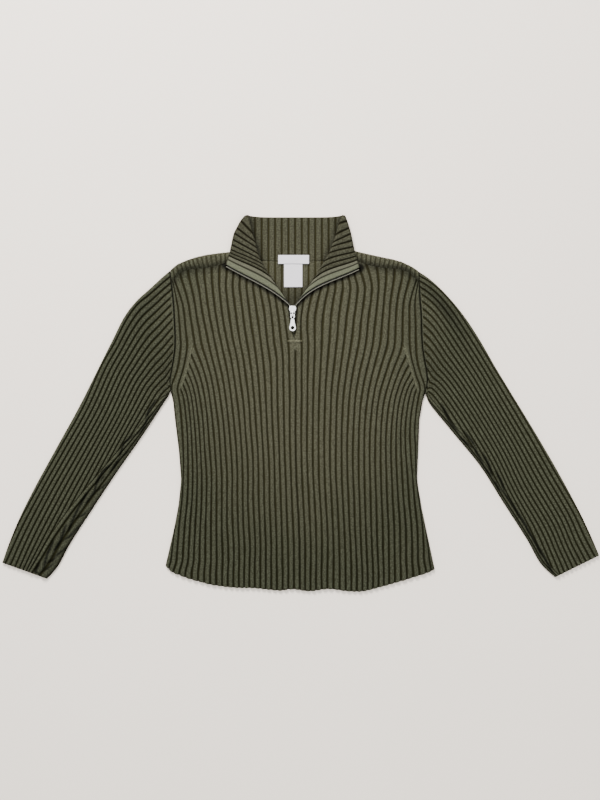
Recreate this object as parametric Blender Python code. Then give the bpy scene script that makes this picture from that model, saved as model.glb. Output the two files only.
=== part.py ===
"""Quarter zip sweater in a 2 by 2 rib knit, laid flat with its front up.

The sweater rests on the plane z = 0 with its collar toward +Y.  Each knitted
panel is a wall of a few millimetres: its outer face carries the raised ribs,
its inner face is plain.  Lengths in this file are millimetres, and MM turns
them into metres where a mesh is made.
"""

import math

import bmesh
import bpy
import numpy as np

MM = 0.001
SEAM_GAP = 0.4
WELD = 0.02
KNIT_SMOOTH = 50.0       # degrees; faces that meet more sharply keep their edge
METAL_SMOOTH = 30.0

# Heights above the floor.
BACK_WALL = 2.8
BACK_VALLEY = 1.8
FOOT_HEIGHT = 1.2
FOOT_INSET = 1.6
FRONT_UNDER = 3.1
FRONT_VALLEY = 5.6
RIB_RISE = 1.4
SIDE_RADIUS = 6.0
SEAM_RADIUS = 4.0
SEAM_DIP = 1.6
HEM_RADIUS = 3.0
HEM_DIP = 1.3
THIN_EDGE = 0.4
LAPEL_UNDER = 7.4
FACING_WALL = 1.0

# The knit, and the ribs of one half of the body counted from the middle to the side.
KNIT_COLOUR = (0.065, 0.068, 0.040)
MAIN_RIBS = 20
BAND_RIBS = 3
SHOULDER_RIBS = 15
FASHION_START = 27.0
FASHION_END = 102.0
CREST_START = 0.24
YOKE = 121.0
ARMPIT = 12.0
HEM_GUESS = -335.0
HEM_STEPS = 3

BODY_COLUMNS = ("y", "left_edge", "left_band", "left_middle",
                "right_middle", "right_band", "right_edge", "pinch")
BODY_ROWS = (
    (-355.0, -265.0, -225.0, -1.5, -1.5, 219.5, 262.5, -0.03),
    (-304.5, -252.0, -214.0, -1.7, -1.7, 209.0, 251.0, -0.03),
    (-248.5, -239.0, -206.0, -2.6, -2.6, 202.5, 239.0, 0.00),
    (-201.5, -229.0, -203.5, -4.5, -4.5, 199.5, 229.0, 0.04),
    (-145.5, -223.0, -201.5, -7.3, -7.3, 191.0, 219.5, 0.08),
    (-89.0, -227.5, -203.0, -8.8, -8.8, 192.0, 222.0, 0.10),
    (-33.0, -234.5, -208.0, -8.8, -8.8, 195.5, 224.0, 0.13),
    (1.0, -238.0, -211.5, -8.8, -8.8, 203.0, 229.8, 0.13),
    (19.5, -242.3, -217.5, -8.8, -8.8, 209.0, 235.4, 0.10),
    (42.0, -244.6, -218.0, -9.0, -9.0, 212.0, 240.2, 0.05),
    (61.0, -241.6, -214.0, -9.2, -9.2, 208.0, 238.4, 0.02),
    (79.5, -238.0, -208.0, -9.2, -9.2, 201.5, 234.5, 0.00),
    (102.0, -235.0, -201.5, -9.4, -9.4, 195.0, 231.0, 0.00),
    (121.0, -234.5, -199.5, -10.3, -10.3, 191.0, 229.5, 0.00),
    (136.0, -235.0, -202.5, -14.4, -8.1, 191.0, 229.3, 0.00),
    (154.5, -236.0, -205.0, -17.6, -6.4, 191.5, 228.8, 0.00),
    (177.0, -236.8, -209.0, -21.0, -5.3, 193.0, 227.4, 0.00),
    (192.0, -238.1, -211.5, -21.4, -6.8, 194.5, 225.9, 0.00),
    (220.5, -241.1, -218.5, -25.3, -2.8, 201.0, 224.1, 0.00),
    (248.5, -244.1, -223.5, -29.1, 1.9, 205.3, 223.1, 0.00),
    (276.5, -246.5, -228.0, -32.8, 6.6, 209.0, 222.2, 0.00),
)
HEM = (  # x, y along the bottom edge
    (-253.0, -306.5), (-244.0, -316.0), (-225.0, -325.0), (-206.0, -332.0), (-187.5, -337.0),
    (-169.0, -342.0), (-150.0, -345.0), (-122.0, -348.0), (-84.5, -349.0), (-56.0, -352.0),
    (-37.5, -353.5), (-19.0, -351.0), (19.0, -354.5), (52.5, -350.5), (94.0, -355.0),
    (116.0, -355.0), (150.0, -347.0), (187.5, -336.5), (221.0, -326.0), (244.0, -318.0),
    (255.0, -312.0),
)
FRONT_TOP = (  # rib rank, y of the front's upper edge
    (0.0, 187.5), (1.0, 209.0), (2.0, 235.5), (3.0, 255.0), (4.0, 263.5), (5.0, 267.0),
    (6.0, 269.5), (7.0, 268.5), (8.0, 264.0), (9.0, 259.0), (11.0, 253.5), (14.0, 249.0),
    (15.0, 244.5), (16.5, 236.0), (18.0, 226.0),
)
LEFT_SHOULDER = (  # x, y of the fold along the top of the shoulder
    (-248.0, 243.5), (-244.0, 246.5), (-234.5, 253.0), (-225.0, 259.5), (-206.0, 267.0),
    (-187.5, 273.0), (-169.0, 277.5), (-150.0, 280.5), (-123.0, 283.5),
)
RIGHT_SHOULDER = (
    (99.0, 285.5), (131.0, 277.5), (150.0, 273.0), (169.0, 269.0), (187.5, 264.0),
    (206.0, 256.0), (215.5, 250.5), (225.0, 244.5), (229.0, 241.5),
)
NECKLINE = (  # x, y of the seam between the back and the collar
    (-123.0, 283.0), (-116.0, 276.0), (-100.0, 270.5), (-70.0, 266.5), (-13.0, 264.0),
    (45.0, 266.5), (75.0, 270.5), (91.0, 277.0), (99.0, 285.0),
)
COLLAR_FOOT = ((-140.0, 284.8), (-124.8, 284.8), *NECKLINE[1:-1], (100.8, 286.8), (115.0, 286.8))
SHOULDER_STRIP_RIBS = 15

SLEEVE_COLUMNS = ("outer_x", "outer_y", "crease_x", "crease_y", "inner_x", "inner_y", "ribs")
LEFT_SLEEVE = (
    (-244.0, 246.5, -242.0, 21.5, -242.0, 21.5, 15.0),
    (-281.0, 213.0, -243.0, 20.0, -243.0, 20.0, 15.0),
    (-307.5, 188.5, -244.0, 18.7, -244.0, 18.7, 15.0),
    (-330.0, 158.5, -245.5, 17.0, -245.0, 16.9, 15.0),
    (-352.5, 113.5, -250.3, 13.0, -246.6, 12.2, 15.0),
    (-375.0, 68.5, -264.4, 3.8, -256.0, -2.0, 14.8),
    (-412.5, -6.5, -307.0, -57.6, -296.0, -62.8, 13.7),
    (-453.8, -81.5, -357.6, -130.5, -347.0, -136.0, 12.3),
    (-495.0, -156.6, -406.3, -201.0, -394.0, -207.0, 11.3),
    (-525.0, -216.6, -447.0, -255.0, -430.3, -263.4, 9.9),
    (-543.8, -261.6, -470.0, -298.3, -453.8, -306.6, 9.2),
    (-557.8, -301.0, -494.0, -323.4, -474.4, -331.0, 8.0),
)
RIGHT_SLEEVE = (
    (225.0, 244.5, 235.0, 16.0, 235.0, 16.0, 15.0),
    (257.0, 218.5, 235.8, 15.4, 235.8, 15.4, 15.0),
    (285.0, 188.5, 236.2, 15.6, 236.2, 15.0, 15.0),
    (311.3, 154.5, 236.9, 15.2, 236.6, 14.1, 15.0),
    (337.5, 113.5, 239.1, 13.9, 237.2, 11.2, 15.0),
    (365.5, 64.5, 252.2, -2.0, 245.6, -5.6, 14.9),
    (399.5, 8.5, 295.0, -51.6, 287.0, -56.2, 14.2),
    (440.6, -59.0, 346.5, -113.0, 337.5, -118.0, 12.9),
    (480.0, -126.6, 388.7, -179.4, 379.7, -184.7, 12.2),
    (519.5, -199.7, 433.5, -249.8, 424.7, -255.0, 11.6),
    (542.0, -246.6, 459.0, -294.8, 450.0, -300.0, 11.0),
    (559.7, -287.8, 487.3, -323.6, 478.0, -328.0, 10.0),
)
SLEEVE_TOP_RIBS = 15
SLEEVE_VALLEY = 5.7
SLIT_UNDER = 2.7
SLIT_OVER = 3.2
SLIT_INSET = 5.0
LEFT_ROLL = (2, 2.6)     # ribs in the roll beside the crease, and its rise
RIGHT_ROLL = (1, 0.9)

LAPEL_COLUMNS = ("outer_x", "outer_y", "roll_x", "roll_y")
LEFT_LAPEL = (  # a row for each valley, from the collar's tip to the zip edge
    (-103.0, 350.5, -96.5, 351.5),
    (-111.5, 340.5, -88.0, 316.0),
    (-119.0, 327.0, -82.5, 299.0),
    (-124.0, 317.0, -78.0, 286.0),
    (-127.0, 305.5, -72.0, 272.0),
    (-129.0, 295.5, -67.5, 261.5),
    (-130.5, 286.0, -62.0, 252.0),
    (-133.0, 277.5, -55.0, 240.0),
    (-134.5, 273.0, -45.0, 224.0),
    (-138.0, 259.5, -22.0, 189.0),
)
RIGHT_LAPEL = (
    (84.5, 350.5, 79.0, 351.5),
    (89.0, 339.5, 72.0, 334.5),
    (93.0, 327.0, 66.5, 314.0),
    (96.0, 316.0, 61.0, 299.0),
    (98.5, 303.0, 56.0, 287.0),
    (101.0, 291.5, 50.5, 274.5),
    (103.0, 282.0, 43.0, 261.5),
    (105.5, 274.0, 35.5, 248.5),
    (108.0, 267.0, 23.5, 229.5),
    (112.5, 253.0, -6.0, 189.0),
)
LAPEL_RIBS = 8
LAPEL_RIB_RISE = 1.1
LAPEL_SECTION = (  # share from roll to outer edge, ribbed height, bed height, rib strength
    (0.00, 8.0, 7.9, 0.0),
    (0.02, 10.3, 8.9, 0.4),
    (0.06, 11.9, 9.7, 0.8),
    (0.14, 12.2, 9.9, 1.0),
    (0.40, 11.6, 9.9, 1.0),
    (0.70, 11.2, 9.9, 1.0),
    (0.92, 10.9, 9.8, 0.9),
    (0.98, 9.8, 9.2, 0.5),
    (1.00, 8.4, 8.2, 0.0),
)
STAND_RIBS = 14
STAND_LEFT, STAND_RIGHT = -97.0, 79.0
STAND_TOP = 348.0
STAND_TIP_RISE = 3.5
HIDDEN_LAYERS = 8.8
HIDDEN_INSET = 4.0

# Zip fittings.
CHAIN_WIDTH = 3.2
CHAIN_WALL = 1.5
CHAIN_UNDER = 7.9
SLIDER_X = -13.9
LOWER_PLATE = (3.2, 4.5)
UPPER_PLATE = (7.8, 9.0)
HINGE_Y, HINGE_Z = 164.7, 10.5
PULL_WALL = 1.6
PULL_REACH = 24.8
PULL_RING, PULL_HOLE = 6.2, 2.3
PULL_RING_ARC = (54.0, -234.0, 22)   # first and last angle in degrees, and points
PULL_HOLE_ARC = (0.0, 330.0, 12)
PULL_NECK = 3.2                      # half width of the neck, and reach of its two ends
PULL_NECK_ENDS = (0.9, 15.376)
PULL_WINDOW = (1.7, 0.8, 7.6)        # half width, and reach of its two ends
PULL_REST_TILT = math.radians(4.35)
TAPE_COLOUR = (0.02, 0.02, 0.014)
NICKEL_COLOUR = (0.80, 0.79, 0.76)

# Labels: left, right, bottom, top, underside and upper side.
NECK_LABEL = (-41.0, 17.0, 260.0, 276.5, 4.5, 5.5)
CARE_LABEL = (-30.0, 4.5, 216.5, 262.5, 3.15, 4.15)
LABEL_POINTS = 4
LABEL_COLOUR = (0.80, 0.79, 0.77)


def table(columns, rows):
    """The rows as one array for each named column."""
    return dict(zip(columns, np.array(rows, float).T))


BODY = table(BODY_COLUMNS, BODY_ROWS)


def smooth(knots, values, at):
    """Cubic curve through the knots, whose slope at each is the mean of its neighbours'."""
    knots, values = np.asarray(knots, float), np.asarray(values, float)
    slopes = np.gradient(values, knots)
    at = np.clip(at, knots[0], knots[-1])
    k = np.clip(np.searchsorted(knots, at, side="right") - 1, 0, len(knots) - 2)
    span = knots[k + 1] - knots[k]
    t = (at - knots[k]) / span
    start = (1 + 2 * t) * (1 - t) ** 2 * values[k] + t * (1 - t) ** 2 * span * slopes[k]
    end = t ** 2 * (3 - 2 * t) * values[k + 1] - t ** 2 * (1 - t) * span * slopes[k + 1]
    return start + end


def line(points, at):
    """y at x on a polyline given as (x, y) pairs."""
    xs, ys = np.array(points, float).T
    return np.interp(at, xs, ys)


def rounded(distance, radius):
    """0 at an edge, rising on a quarter circle to 1 at the radius."""
    q = np.clip(distance / radius, 0.0, 1.0)
    return np.sqrt(1.0 - (1.0 - q) ** 2)


def rib(index):
    """0 in the valley at each whole number, 1 on the flat crest between."""
    phase = np.mod(index, 1.0)
    return np.clip(np.minimum(phase, 1.0 - phase) / CREST_START, 0.0, 1.0)


def rib_columns(first, last):
    """Three columns for each rib: its valley and both ends of its crest."""
    starts = np.arange(first, last)[:, None]
    columns = starts + np.array([0.0, CREST_START, 1.0 - CREST_START])
    return np.append(columns.ravel(), float(last))


# ---------------------------------------------------------------- body shape

def ribs_left(y):
    """Main ribs of a half at height y: five end on the fashioning line."""
    done = np.clip((y - FASHION_START) / (FASHION_END - FASHION_START), 0.0, 1.0)
    return MAIN_RIBS + (SHOULDER_RIBS - MAIN_RIBS) * done


def body_edge(side, y):
    """x of a half's outer edge; straight between the rows of the table."""
    return np.interp(y, BODY["y"], BODY[side + "_edge"])


def body_x(side, index, y):
    """x of rib line `index` of one half at height y.

    Main ribs share the width from the middle to the band evenly, but for the
    pinch; those past ribs_left(y) close on the band's line.  The band's ribs
    share the rest up to the edge.
    """
    middle = smooth(BODY["y"], BODY[side + "_middle"], y)
    band = smooth(BODY["y"], BODY[side + "_band"], y)
    pinch = smooth(BODY["y"], BODY["pinch"], y)
    share = np.clip(index / ribs_left(y), 0.0, 1.0)
    share = share + pinch * share * (1.0 - share)
    outer = np.clip((index - MAIN_RIBS) / BAND_RIBS, 0.0, 1.0)
    return middle + (band - middle) * share + (body_edge(side, y) - band) * outer


def hem_y(x):
    """y of the bottom edge."""
    xs, ys = np.array(HEM).T
    return smooth(xs, ys, x)


def hem_of(side, index):
    """y of the bottom edge on each rib line."""
    y = np.full_like(index, HEM_GUESS)
    for _ in range(HEM_STEPS):
        y = hem_y(body_x(side, index, y))
    return y


def front_top(index):
    """y of the front's upper edge on each rib line, by its rank at the shoulder."""
    rank = np.minimum(index, SHOULDER_RIBS) + np.clip(index - MAIN_RIBS, 0, None)
    ranks, ys = np.array(FRONT_TOP).T
    return smooth(ranks, ys, rank)


FRONT_LEVELS = (-285.0, -240.0, -190.0, -135.0, -70.0, 1.0, 19.5, 42.0, 61.0, 79.5, 102.0, YOKE)
YOKE_SHARES = (0.15, 0.35, 0.60, 0.83, 0.96, 1.0)
SIDE_COLUMNS = (22.3, 22.6, 22.8, 22.93)


def half_front(side):
    """Grid of one half of the front: rows from hem to top, columns along the ribs."""
    index = np.unique(np.concatenate([rib_columns(0, MAIN_RIBS + BAND_RIBS - 1),
                                      SIDE_COLUMNS, [MAIN_RIBS + BAND_RIBS]]))
    hem, top = hem_of(side, index), front_top(index)
    rows = [hem, hem + HEM_RADIUS]
    rows += [np.full_like(index, level) for level in FRONT_LEVELS]
    rows += [YOKE + (top - YOKE) * share for share in YOKE_SHARES]
    y = np.array(rows)
    index = np.broadcast_to(index, y.shape)
    x = body_x(side, index, y)
    closed = (index > ribs_left(y)) & (index <= MAIN_RIBS)
    z = FRONT_VALLEY + RIB_RISE * rib(index) * ~closed
    from_edge = np.abs(x - body_edge(side, y))
    lowest = FRONT_UNDER + THIN_EDGE
    z_side = lowest + (z - lowest) * rounded(from_edge, SIDE_RADIUS)
    z_seam = z - SEAM_DIP * (1.0 - rounded(from_edge, SEAM_RADIUS))
    z = np.where(y < ARMPIT, z_side, z_seam)
    z = z - HEM_DIP * (1.0 - rounded(y - hem, HEM_RADIUS))
    z = z - SEAM_DIP * (1.0 - rounded(top - y, SEAM_RADIUS))
    return np.stack([x, y, np.maximum(z, lowest)], axis=-1)


# ------------------------------------------------------------- mesh building

def new_mesh():
    return bmesh.new()


def add_grid(bm, points):
    """Quads over a grid of points, rows by columns."""
    rows, columns = points.shape[:2]
    verts = [bm.verts.new(p * MM) for p in points.reshape(-1, 3)]
    for r in range(rows - 1):
        for c in range(columns - 1):
            a = r * columns + c
            bm.faces.new([verts[a], verts[a + 1], verts[a + columns + 1], verts[a + columns]])
    return verts


def weld(bm):
    """Join points that coincide; faces that closed to nothing go with them."""
    bmesh.ops.remove_doubles(bm, verts=bm.verts, dist=WELD * MM)
    bmesh.ops.dissolve_degenerate(bm, dist=WELD * MM / 4, edges=bm.edges)


def drop_rim(bm, rim, height):
    """Extrude the open rim straight down to a height; return the new rim."""
    geometry = bmesh.ops.extrude_edge_only(bm, edges=rim)["geom"]
    for vert in (g for g in geometry if isinstance(g, bmesh.types.BMVert)):
        vert.co.z = height * MM
    return [e for e in bm.edges if e.is_boundary]


def close_below(bm, height, foot=False):
    """Wall the open rim down to a flat underside at a height, and fill that."""
    rim = [e for e in bm.edges if e.is_boundary]
    if foot:
        rim = drop_rim(bm, rim, FOOT_HEIGHT)
    rim = drop_rim(bm, rim, height)
    if foot:
        for loop in ordered_loops(rim):
            inset_loop(loop, FOOT_INSET * MM)
    bmesh.ops.triangle_fill(bm, use_beauty=True, edges=rim)


def ordered_loops(edges):
    """Closed chains of vertices along the edges."""
    left, loops = set(edges), []
    while left:
        edge = next(iter(left))
        left.discard(edge)
        loop = [edge.verts[0], edge.verts[1]]
        while loop[-1] is not loop[0]:
            step = next(e for e in loop[-1].link_edges if e in left)
            left.discard(step)
            loop.append(step.other_vert(loop[-1]))
        loops.append(loop[:-1])
    return loops


def inset_loop(loop, inset):
    """Move each vertex of a loop inside it by the inset, in the floor's plane."""
    points = np.array([v.co.xy for v in loop])
    ahead, behind = np.roll(points, -1, axis=0), np.roll(points, 1, axis=0)
    area = np.sum(points[:, 0] * ahead[:, 1] - ahead[:, 0] * points[:, 1])
    along = ahead - behind
    along /= np.linalg.norm(along, axis=1)[:, None]
    normal = np.stack([-along[:, 1], along[:, 0]], axis=1) * np.sign(area)
    for vert, xy in zip(loop, points + normal * inset):
        vert.co.xy = xy


def finish(name, bm, material, smooth_angle=KNIT_SMOOTH):
    """Make the object, with its faces outward and its sharp edges kept."""
    bmesh.ops.recalc_face_normals(bm, faces=bm.faces)
    if bm.calc_volume(signed=True) < 0.0:
        bmesh.ops.reverse_faces(bm, faces=bm.faces)
    mesh = bpy.data.meshes.new(name)
    bm.to_mesh(mesh)
    bm.free()
    mesh.shade_smooth()
    mesh.set_sharp_from_angle(angle=math.radians(smooth_angle))
    if material:
        mesh.materials.append(material)
    obj = bpy.data.objects.new(name, mesh)
    bpy.context.scene.collection.objects.link(obj)
    return obj


def as_cutter(obj):
    """Keep an object out of the build, as a tool for a modifier."""
    obj.hide_render = True
    obj.display_type = "WIRE"
    return obj


def slab(name, top, wall, material):
    """A strip of even thickness under a grid of points."""
    bm = new_mesh()
    add_grid(bm, top)
    weld(bm)
    under = bmesh.ops.duplicate(bm, geom=bm.verts[:] + bm.edges[:] + bm.faces[:])["geom"]
    for vert in (g for g in under if isinstance(g, bmesh.types.BMVert)):
        vert.co.z -= wall * MM
    rims = [e for e in bm.edges if e.is_boundary]
    bmesh.ops.bridge_loops(bm, edges=rims)
    return finish(name, bm, material)


def principled(name, colour, roughness, metallic=0.0):
    """A material with a Principled shader."""
    material = bpy.data.materials.new(name)
    material.use_nodes = True
    shader = material.node_tree.nodes["Principled BSDF"]
    shader.inputs["Base Color"].default_value = (*colour, 1.0)
    shader.inputs["Roughness"].default_value = roughness
    shader.inputs["Metallic"].default_value = metallic
    material.diffuse_color = (*colour, 1.0)
    return material


# -------------------------------------------------------------------- panels

def make_front(material):
    """The front panel: both halves, parted by the zip opening above the yoke."""
    bm = new_mesh()
    for side in ("left", "right"):
        add_grid(bm, half_front(side))
    weld(bm)
    close_below(bm, FRONT_UNDER)
    return finish("front", bm, material)


BACK_SPLIT = 196.0
BACK_LEVELS = (0.0, 0.18, 0.36, 0.54, 0.70, 0.85, 1.0)
BACK_ROWS = (-310.0, 195.0)      # rows of the body's table that the lower outline takes
BACK_HEM_REACH = 250.0
BACK_CORNER_LEVEL = 240.0
INSIDE_RIBS = 10
INSIDE_LEFT, INSIDE_RIGHT = -73.0, 49.0
NECK_BOTTOM = 198.0
NECK_CLEARANCE = 1.0
OVER_SHOULDER = (  # share of the way from seam to fold, height between ribs, rib rise
    (0.001, 4.6, 0.3), (0.25, 6.0, 1.0), (0.68, 6.0, 1.0), (0.90, 4.9, 0.7), (1.0, 2.9, 0.2),
)


def lapel_rows(side):
    """The table of one lapel."""
    return table(LAPEL_COLUMNS, LEFT_LAPEL if side == "left" else RIGHT_LAPEL)


def roll_x(side, y):
    """x of the lapel's roll line at height y."""
    rows = lapel_rows(side)
    return np.interp(y, rows["roll_y"][::-1], rows["roll_x"][::-1])


def outer_x(side, y):
    """x of the lapel's outer edge at height y."""
    rows = lapel_rows(side)
    return np.interp(y, rows["outer_y"][::-1], rows["outer_x"][::-1])


def strip_columns(start, end):
    """x of the valley and the crest of each rib where the back comes over a shoulder."""
    return np.linspace(start, end, 2 * SHOULDER_STRIP_RIBS + 1)


def upper_columns(edges, shoulders):
    """x of the columns: strip over the left shoulder, neck, strip over the right shoulder."""
    (edge_left, edge_right), (left, right) = edges, shoulders
    inside = INSIDE_LEFT + (INSIDE_RIGHT - INSIDE_LEFT) * rib_columns(0, INSIDE_RIBS) / INSIDE_RIBS
    corners = np.array(NECKLINE)[:, 0]
    return np.concatenate([strip_columns(edge_left, left), [left + SEAM_GAP], corners[1:3], inside,
                           corners[-3:-1], [right - SEAM_GAP], strip_columns(right, edge_right)])


def upper_heights(x0, over_shoulder):
    """y of the rows on each column, from BACK_SPLIT to the seam or the neckline and the fold."""
    seam = np.concatenate([half_front("left")[-1][::-1], half_front("right")[-1]])
    y_seam = np.interp(x0, seam[:, 0], seam[:, 1]) + 2 * SEAM_GAP
    y_fold = np.where(x0 < 0.0, line(LEFT_SHOULDER, x0), line(RIGHT_SHOULDER, x0))
    y_end = np.where(over_shoulder, y_seam, line(NECKLINE, x0))
    y_fold = np.where(over_shoulder, y_fold, y_end)
    return np.array([BACK_SPLIT + (y_end - BACK_SPLIT) * level for level in BACK_LEVELS]
                    + [y_end + (y_fold - y_end) * part for part, _, _ in OVER_SHOULDER])


def upper_back():
    """Grid of the back from BACK_SPLIT up: inside ribs at the neck, strips over the shoulders."""
    left, right = LEFT_SHOULDER[-1][0], RIGHT_SHOULDER[0][0]
    edge_left, edge_right = (body_edge(side, BACK_CORNER_LEVEL) for side in ("left", "right"))
    x0 = upper_columns((edge_left, edge_right), (left, right))
    over_shoulder = (x0 <= left) | (x0 >= right)
    y = upper_heights(x0, over_shoulder)
    x = np.tile(x0, (len(y), 1))
    x[:, 0] = body_edge("left", y[:, 0])
    x[:, -1] = body_edge("right", y[:, -1])

    open_neck = x - roll_x("left", y) > NECK_CLEARANCE
    open_neck &= roll_x("right", y) - x > NECK_CLEARANCE
    open_neck &= y > NECK_BOTTOM
    inside_rib = rib((x0 - INSIDE_LEFT) / (INSIDE_RIGHT - INSIDE_LEFT) * INSIDE_RIBS)
    z = np.where(open_neck, BACK_VALLEY + (BACK_WALL - BACK_VALLEY) * inside_rib, BACK_WALL)
    strip_share = np.where(x0 <= left, (x0 - edge_left) / (left - edge_left),
                           (x0 - right) / (edge_right - right))
    strip_rib = rib(strip_share * SHOULDER_STRIP_RIBS)
    for row, (_, base, rise) in enumerate(OVER_SHOULDER, start=len(BACK_LEVELS)):
        z[row] = np.where(over_shoulder, base + rise * strip_rib, BACK_WALL)
    return np.stack([x, y, z], axis=-1)


def lower_outline():
    """x and y down the left side, along the hem and up the right side, below BACK_SPLIT."""
    levels = BODY["y"][(BODY["y"] > BACK_ROWS[0]) & (BODY["y"] < BACK_ROWS[1])]
    hem = np.array([x for x, _ in HEM if abs(x) < BACK_HEM_REACH])
    return np.concatenate([
        np.stack([body_edge("left", levels[::-1]), levels[::-1]], axis=1),
        np.stack([hem, hem_y(hem)], axis=1),
        np.stack([body_edge("right", levels), levels], axis=1)])


def make_back(material):
    """The back panel: flat below, up over both shoulders to the shoulder seams."""
    bm = new_mesh()
    upper = upper_back()
    verts = add_grid(bm, upper)
    first_row = verts[:upper.shape[1]]
    lower = [bm.verts.new((x * MM, y * MM, BACK_WALL * MM)) for x, y in lower_outline()]
    chain = [first_row[0], *lower, first_row[-1]]
    edges = [bm.edges.new(pair) for pair in zip(chain, chain[1:])]
    edges += [bm.edges.get(pair) for pair in zip(first_row, first_row[1:])]
    bmesh.ops.triangle_fill(bm, use_beauty=True, edges=edges)
    weld(bm)
    close_below(bm, 0.0, foot=True)
    return finish("back", bm, material)


# ------------------------------------------------------------------- sleeves

SLEEVE_SEAM_REACH = 0.3
SLEEVE_PUFF_REACH = 0.5
SLEEVE_SIDE_SHARES = np.array([0.06, 0.2, 0.5])
SLEEVE_END_DIP = 1.2
BEND_MARGIN = 0.05


class Sleeve:
    """The outline of one sleeve lying flat: its outer edge, crease and inner edge."""

    def __init__(self, side, rows):
        rows = table(SLEEVE_COLUMNS, rows)
        self.side = side
        self.outer, self.crease, self.inner = (
            np.stack([rows[name + "_x"], rows[name + "_y"]], axis=1)
            for name in ("outer", "crease", "inner"))
        self.ribs = rows["ribs"][:, None]
        self.width = np.linalg.norm(self.inner - self.outer, axis=1)[:, None]
        self.along = np.linspace(0.0, 1.0, len(self.outer))[:, None]

    def shift(self, share):
        """How far each point's x moves so that the sleeve's end follows the armhole."""
        start = self.outer[0] + (self.inner[0] - self.outer[0]) * share[..., None]
        gap = -SEAM_GAP if self.side == "left" else SEAM_GAP
        shift = body_edge(self.side, start[..., 1]) + gap - start[..., 0]
        return shift * np.clip(1.0 - self.along / SLEEVE_SEAM_REACH, 0.0, 1.0) ** 2

    def bends(self):
        """Shares of the width at which the armhole's line bends."""
        first, last = self.outer[0, 1], self.inner[0, 1]
        shares = (BODY["y"] - first) / (last - first)
        return np.sort(shares[(shares > BEND_MARGIN) & (shares < 1.0 - BEND_MARGIN)])

    def layer(self, inset, height, between):
        """Points on a flat layer: both edges moved in by the inset, and shares between them."""
        share = np.concatenate([[0.0], between, [1.0]])
        share = inset / self.width + (1.0 - 2.0 * inset / self.width) * share
        share[:, 1:-1] = between
        point = self.outer[:, None] + (self.inner - self.outer)[:, None] * share[..., None]
        point[..., 0] += self.shift(share)
        return np.concatenate([point, np.full(point.shape[:2] + (1,), height)], axis=-1)


def sleeve_top(sleeve, roll_ribs, roll_rise):
    """Points on the ribbed upper layer, from the outer edge to the inner one.

    Ribs run beside the outer edge, and those that the taper leaves no room for
    end on the crease; the ribs of the roll run beside the inner edge.
    """
    outer, crease, inner = sleeve.outer, sleeve.crease, sleeve.inner
    last = SLEEVE_TOP_RIBS + roll_ribs
    index = np.unique(np.concatenate([rib_columns(0, last), SLEEVE_SIDE_SHARES,
                                      last - SLEEVE_SIDE_SHARES]))
    share = np.clip(index / sleeve.ribs, 0.0, 1.0)[..., None]
    beyond = np.clip((index - SLEEVE_TOP_RIBS) / roll_ribs, 0.0, 1.0)[None, :, None]
    xy = outer[:, None] + (crease - outer)[:, None] * share + (inner - crease)[:, None] * beyond
    from_outer = np.linalg.norm(xy - outer[:, None], axis=2)
    from_inner = np.linalg.norm(xy - inner[:, None], axis=2)
    xy[..., 0] += sleeve.shift(from_outer / sleeve.width)

    closed = (index > sleeve.ribs) & (index <= SLEEVE_TOP_RIBS)
    puff = roll_rise * np.sin(np.pi * beyond[..., 0])
    z = SLEEVE_VALLEY + RIB_RISE * rib(index) * ~closed
    z = z + puff * np.clip(sleeve.along / SLEEVE_PUFF_REACH, 0.0, 1.0)
    edge = np.minimum(rounded(from_outer, SIDE_RADIUS), rounded(from_inner, SIDE_RADIUS))
    z = FRONT_UNDER + (z - FRONT_UNDER) * edge
    z[0] = np.minimum(z[0], SLEEVE_VALLEY)
    z[-1] -= SLEEVE_END_DIP * edge[-1]
    return np.concatenate([xy, z[..., None]], axis=-1)


def make_sleeve(side, rows, roll, material):
    """A sleeve: a flattened tube, open at the armhole and at the cuff."""
    sleeve = Sleeve(side, rows)
    bends = sleeve.bends()
    brow = sleeve.layer(FOOT_INSET / 2, FOOT_HEIGHT, [])
    sole = sleeve.layer(2 * FOOT_INSET, 0.0, bends)
    shell = np.concatenate([sleeve_top(sleeve, *roll), brow[:, 1:], sole[:, ::-1], brow[:, :1]],
                           axis=1)
    slit = np.concatenate([sleeve.layer(SLIT_INSET, SLIT_OVER, bends),
                           sleeve.layer(SLIT_INSET, SLIT_UNDER, bends)[:, ::-1]], axis=1)
    bm = new_mesh()
    outside, lining = add_tube(bm, shell), add_tube(bm, slit)
    for row in (0, -1):
        bridge_rings(bm, outside[row], lining[row])
    weld(bm)
    return finish("sleeve_" + side, bm, material)


def add_tube(bm, rings):
    """Quads round and along a stack of closed rings; returns each ring's vertices."""
    verts = [[bm.verts.new(p * MM) for p in ring] for ring in rings]
    count = rings.shape[1]
    for a, b in zip(verts, verts[1:]):
        for k in range(count):
            n = (k + 1) % count
            bm.faces.new([a[k], a[n], b[n], b[k]])
    return verts


def bridge_rings(bm, ring, other):
    """Triangles between two closed rings with different numbers of points."""
    def along(verts):
        points = np.array([v.co for v in verts])
        steps = np.linalg.norm(np.roll(points, -1, axis=0) - points, axis=1)
        return np.concatenate([[0.0], np.cumsum(steps)]) / steps.sum()
    a, b = along(ring), along(other)
    i = j = 0
    while i < len(ring) or j < len(other):
        if j == len(other) or (i < len(ring) and a[i + 1] <= b[j + 1]):
            bm.faces.new([ring[i], ring[(i + 1) % len(ring)], other[j % len(other)]])
            i += 1
        else:
            bm.faces.new([ring[i % len(ring)], other[(j + 1) % len(other)], other[j]])
            j += 1


# -------------------------------------------------------------------- collar

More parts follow.
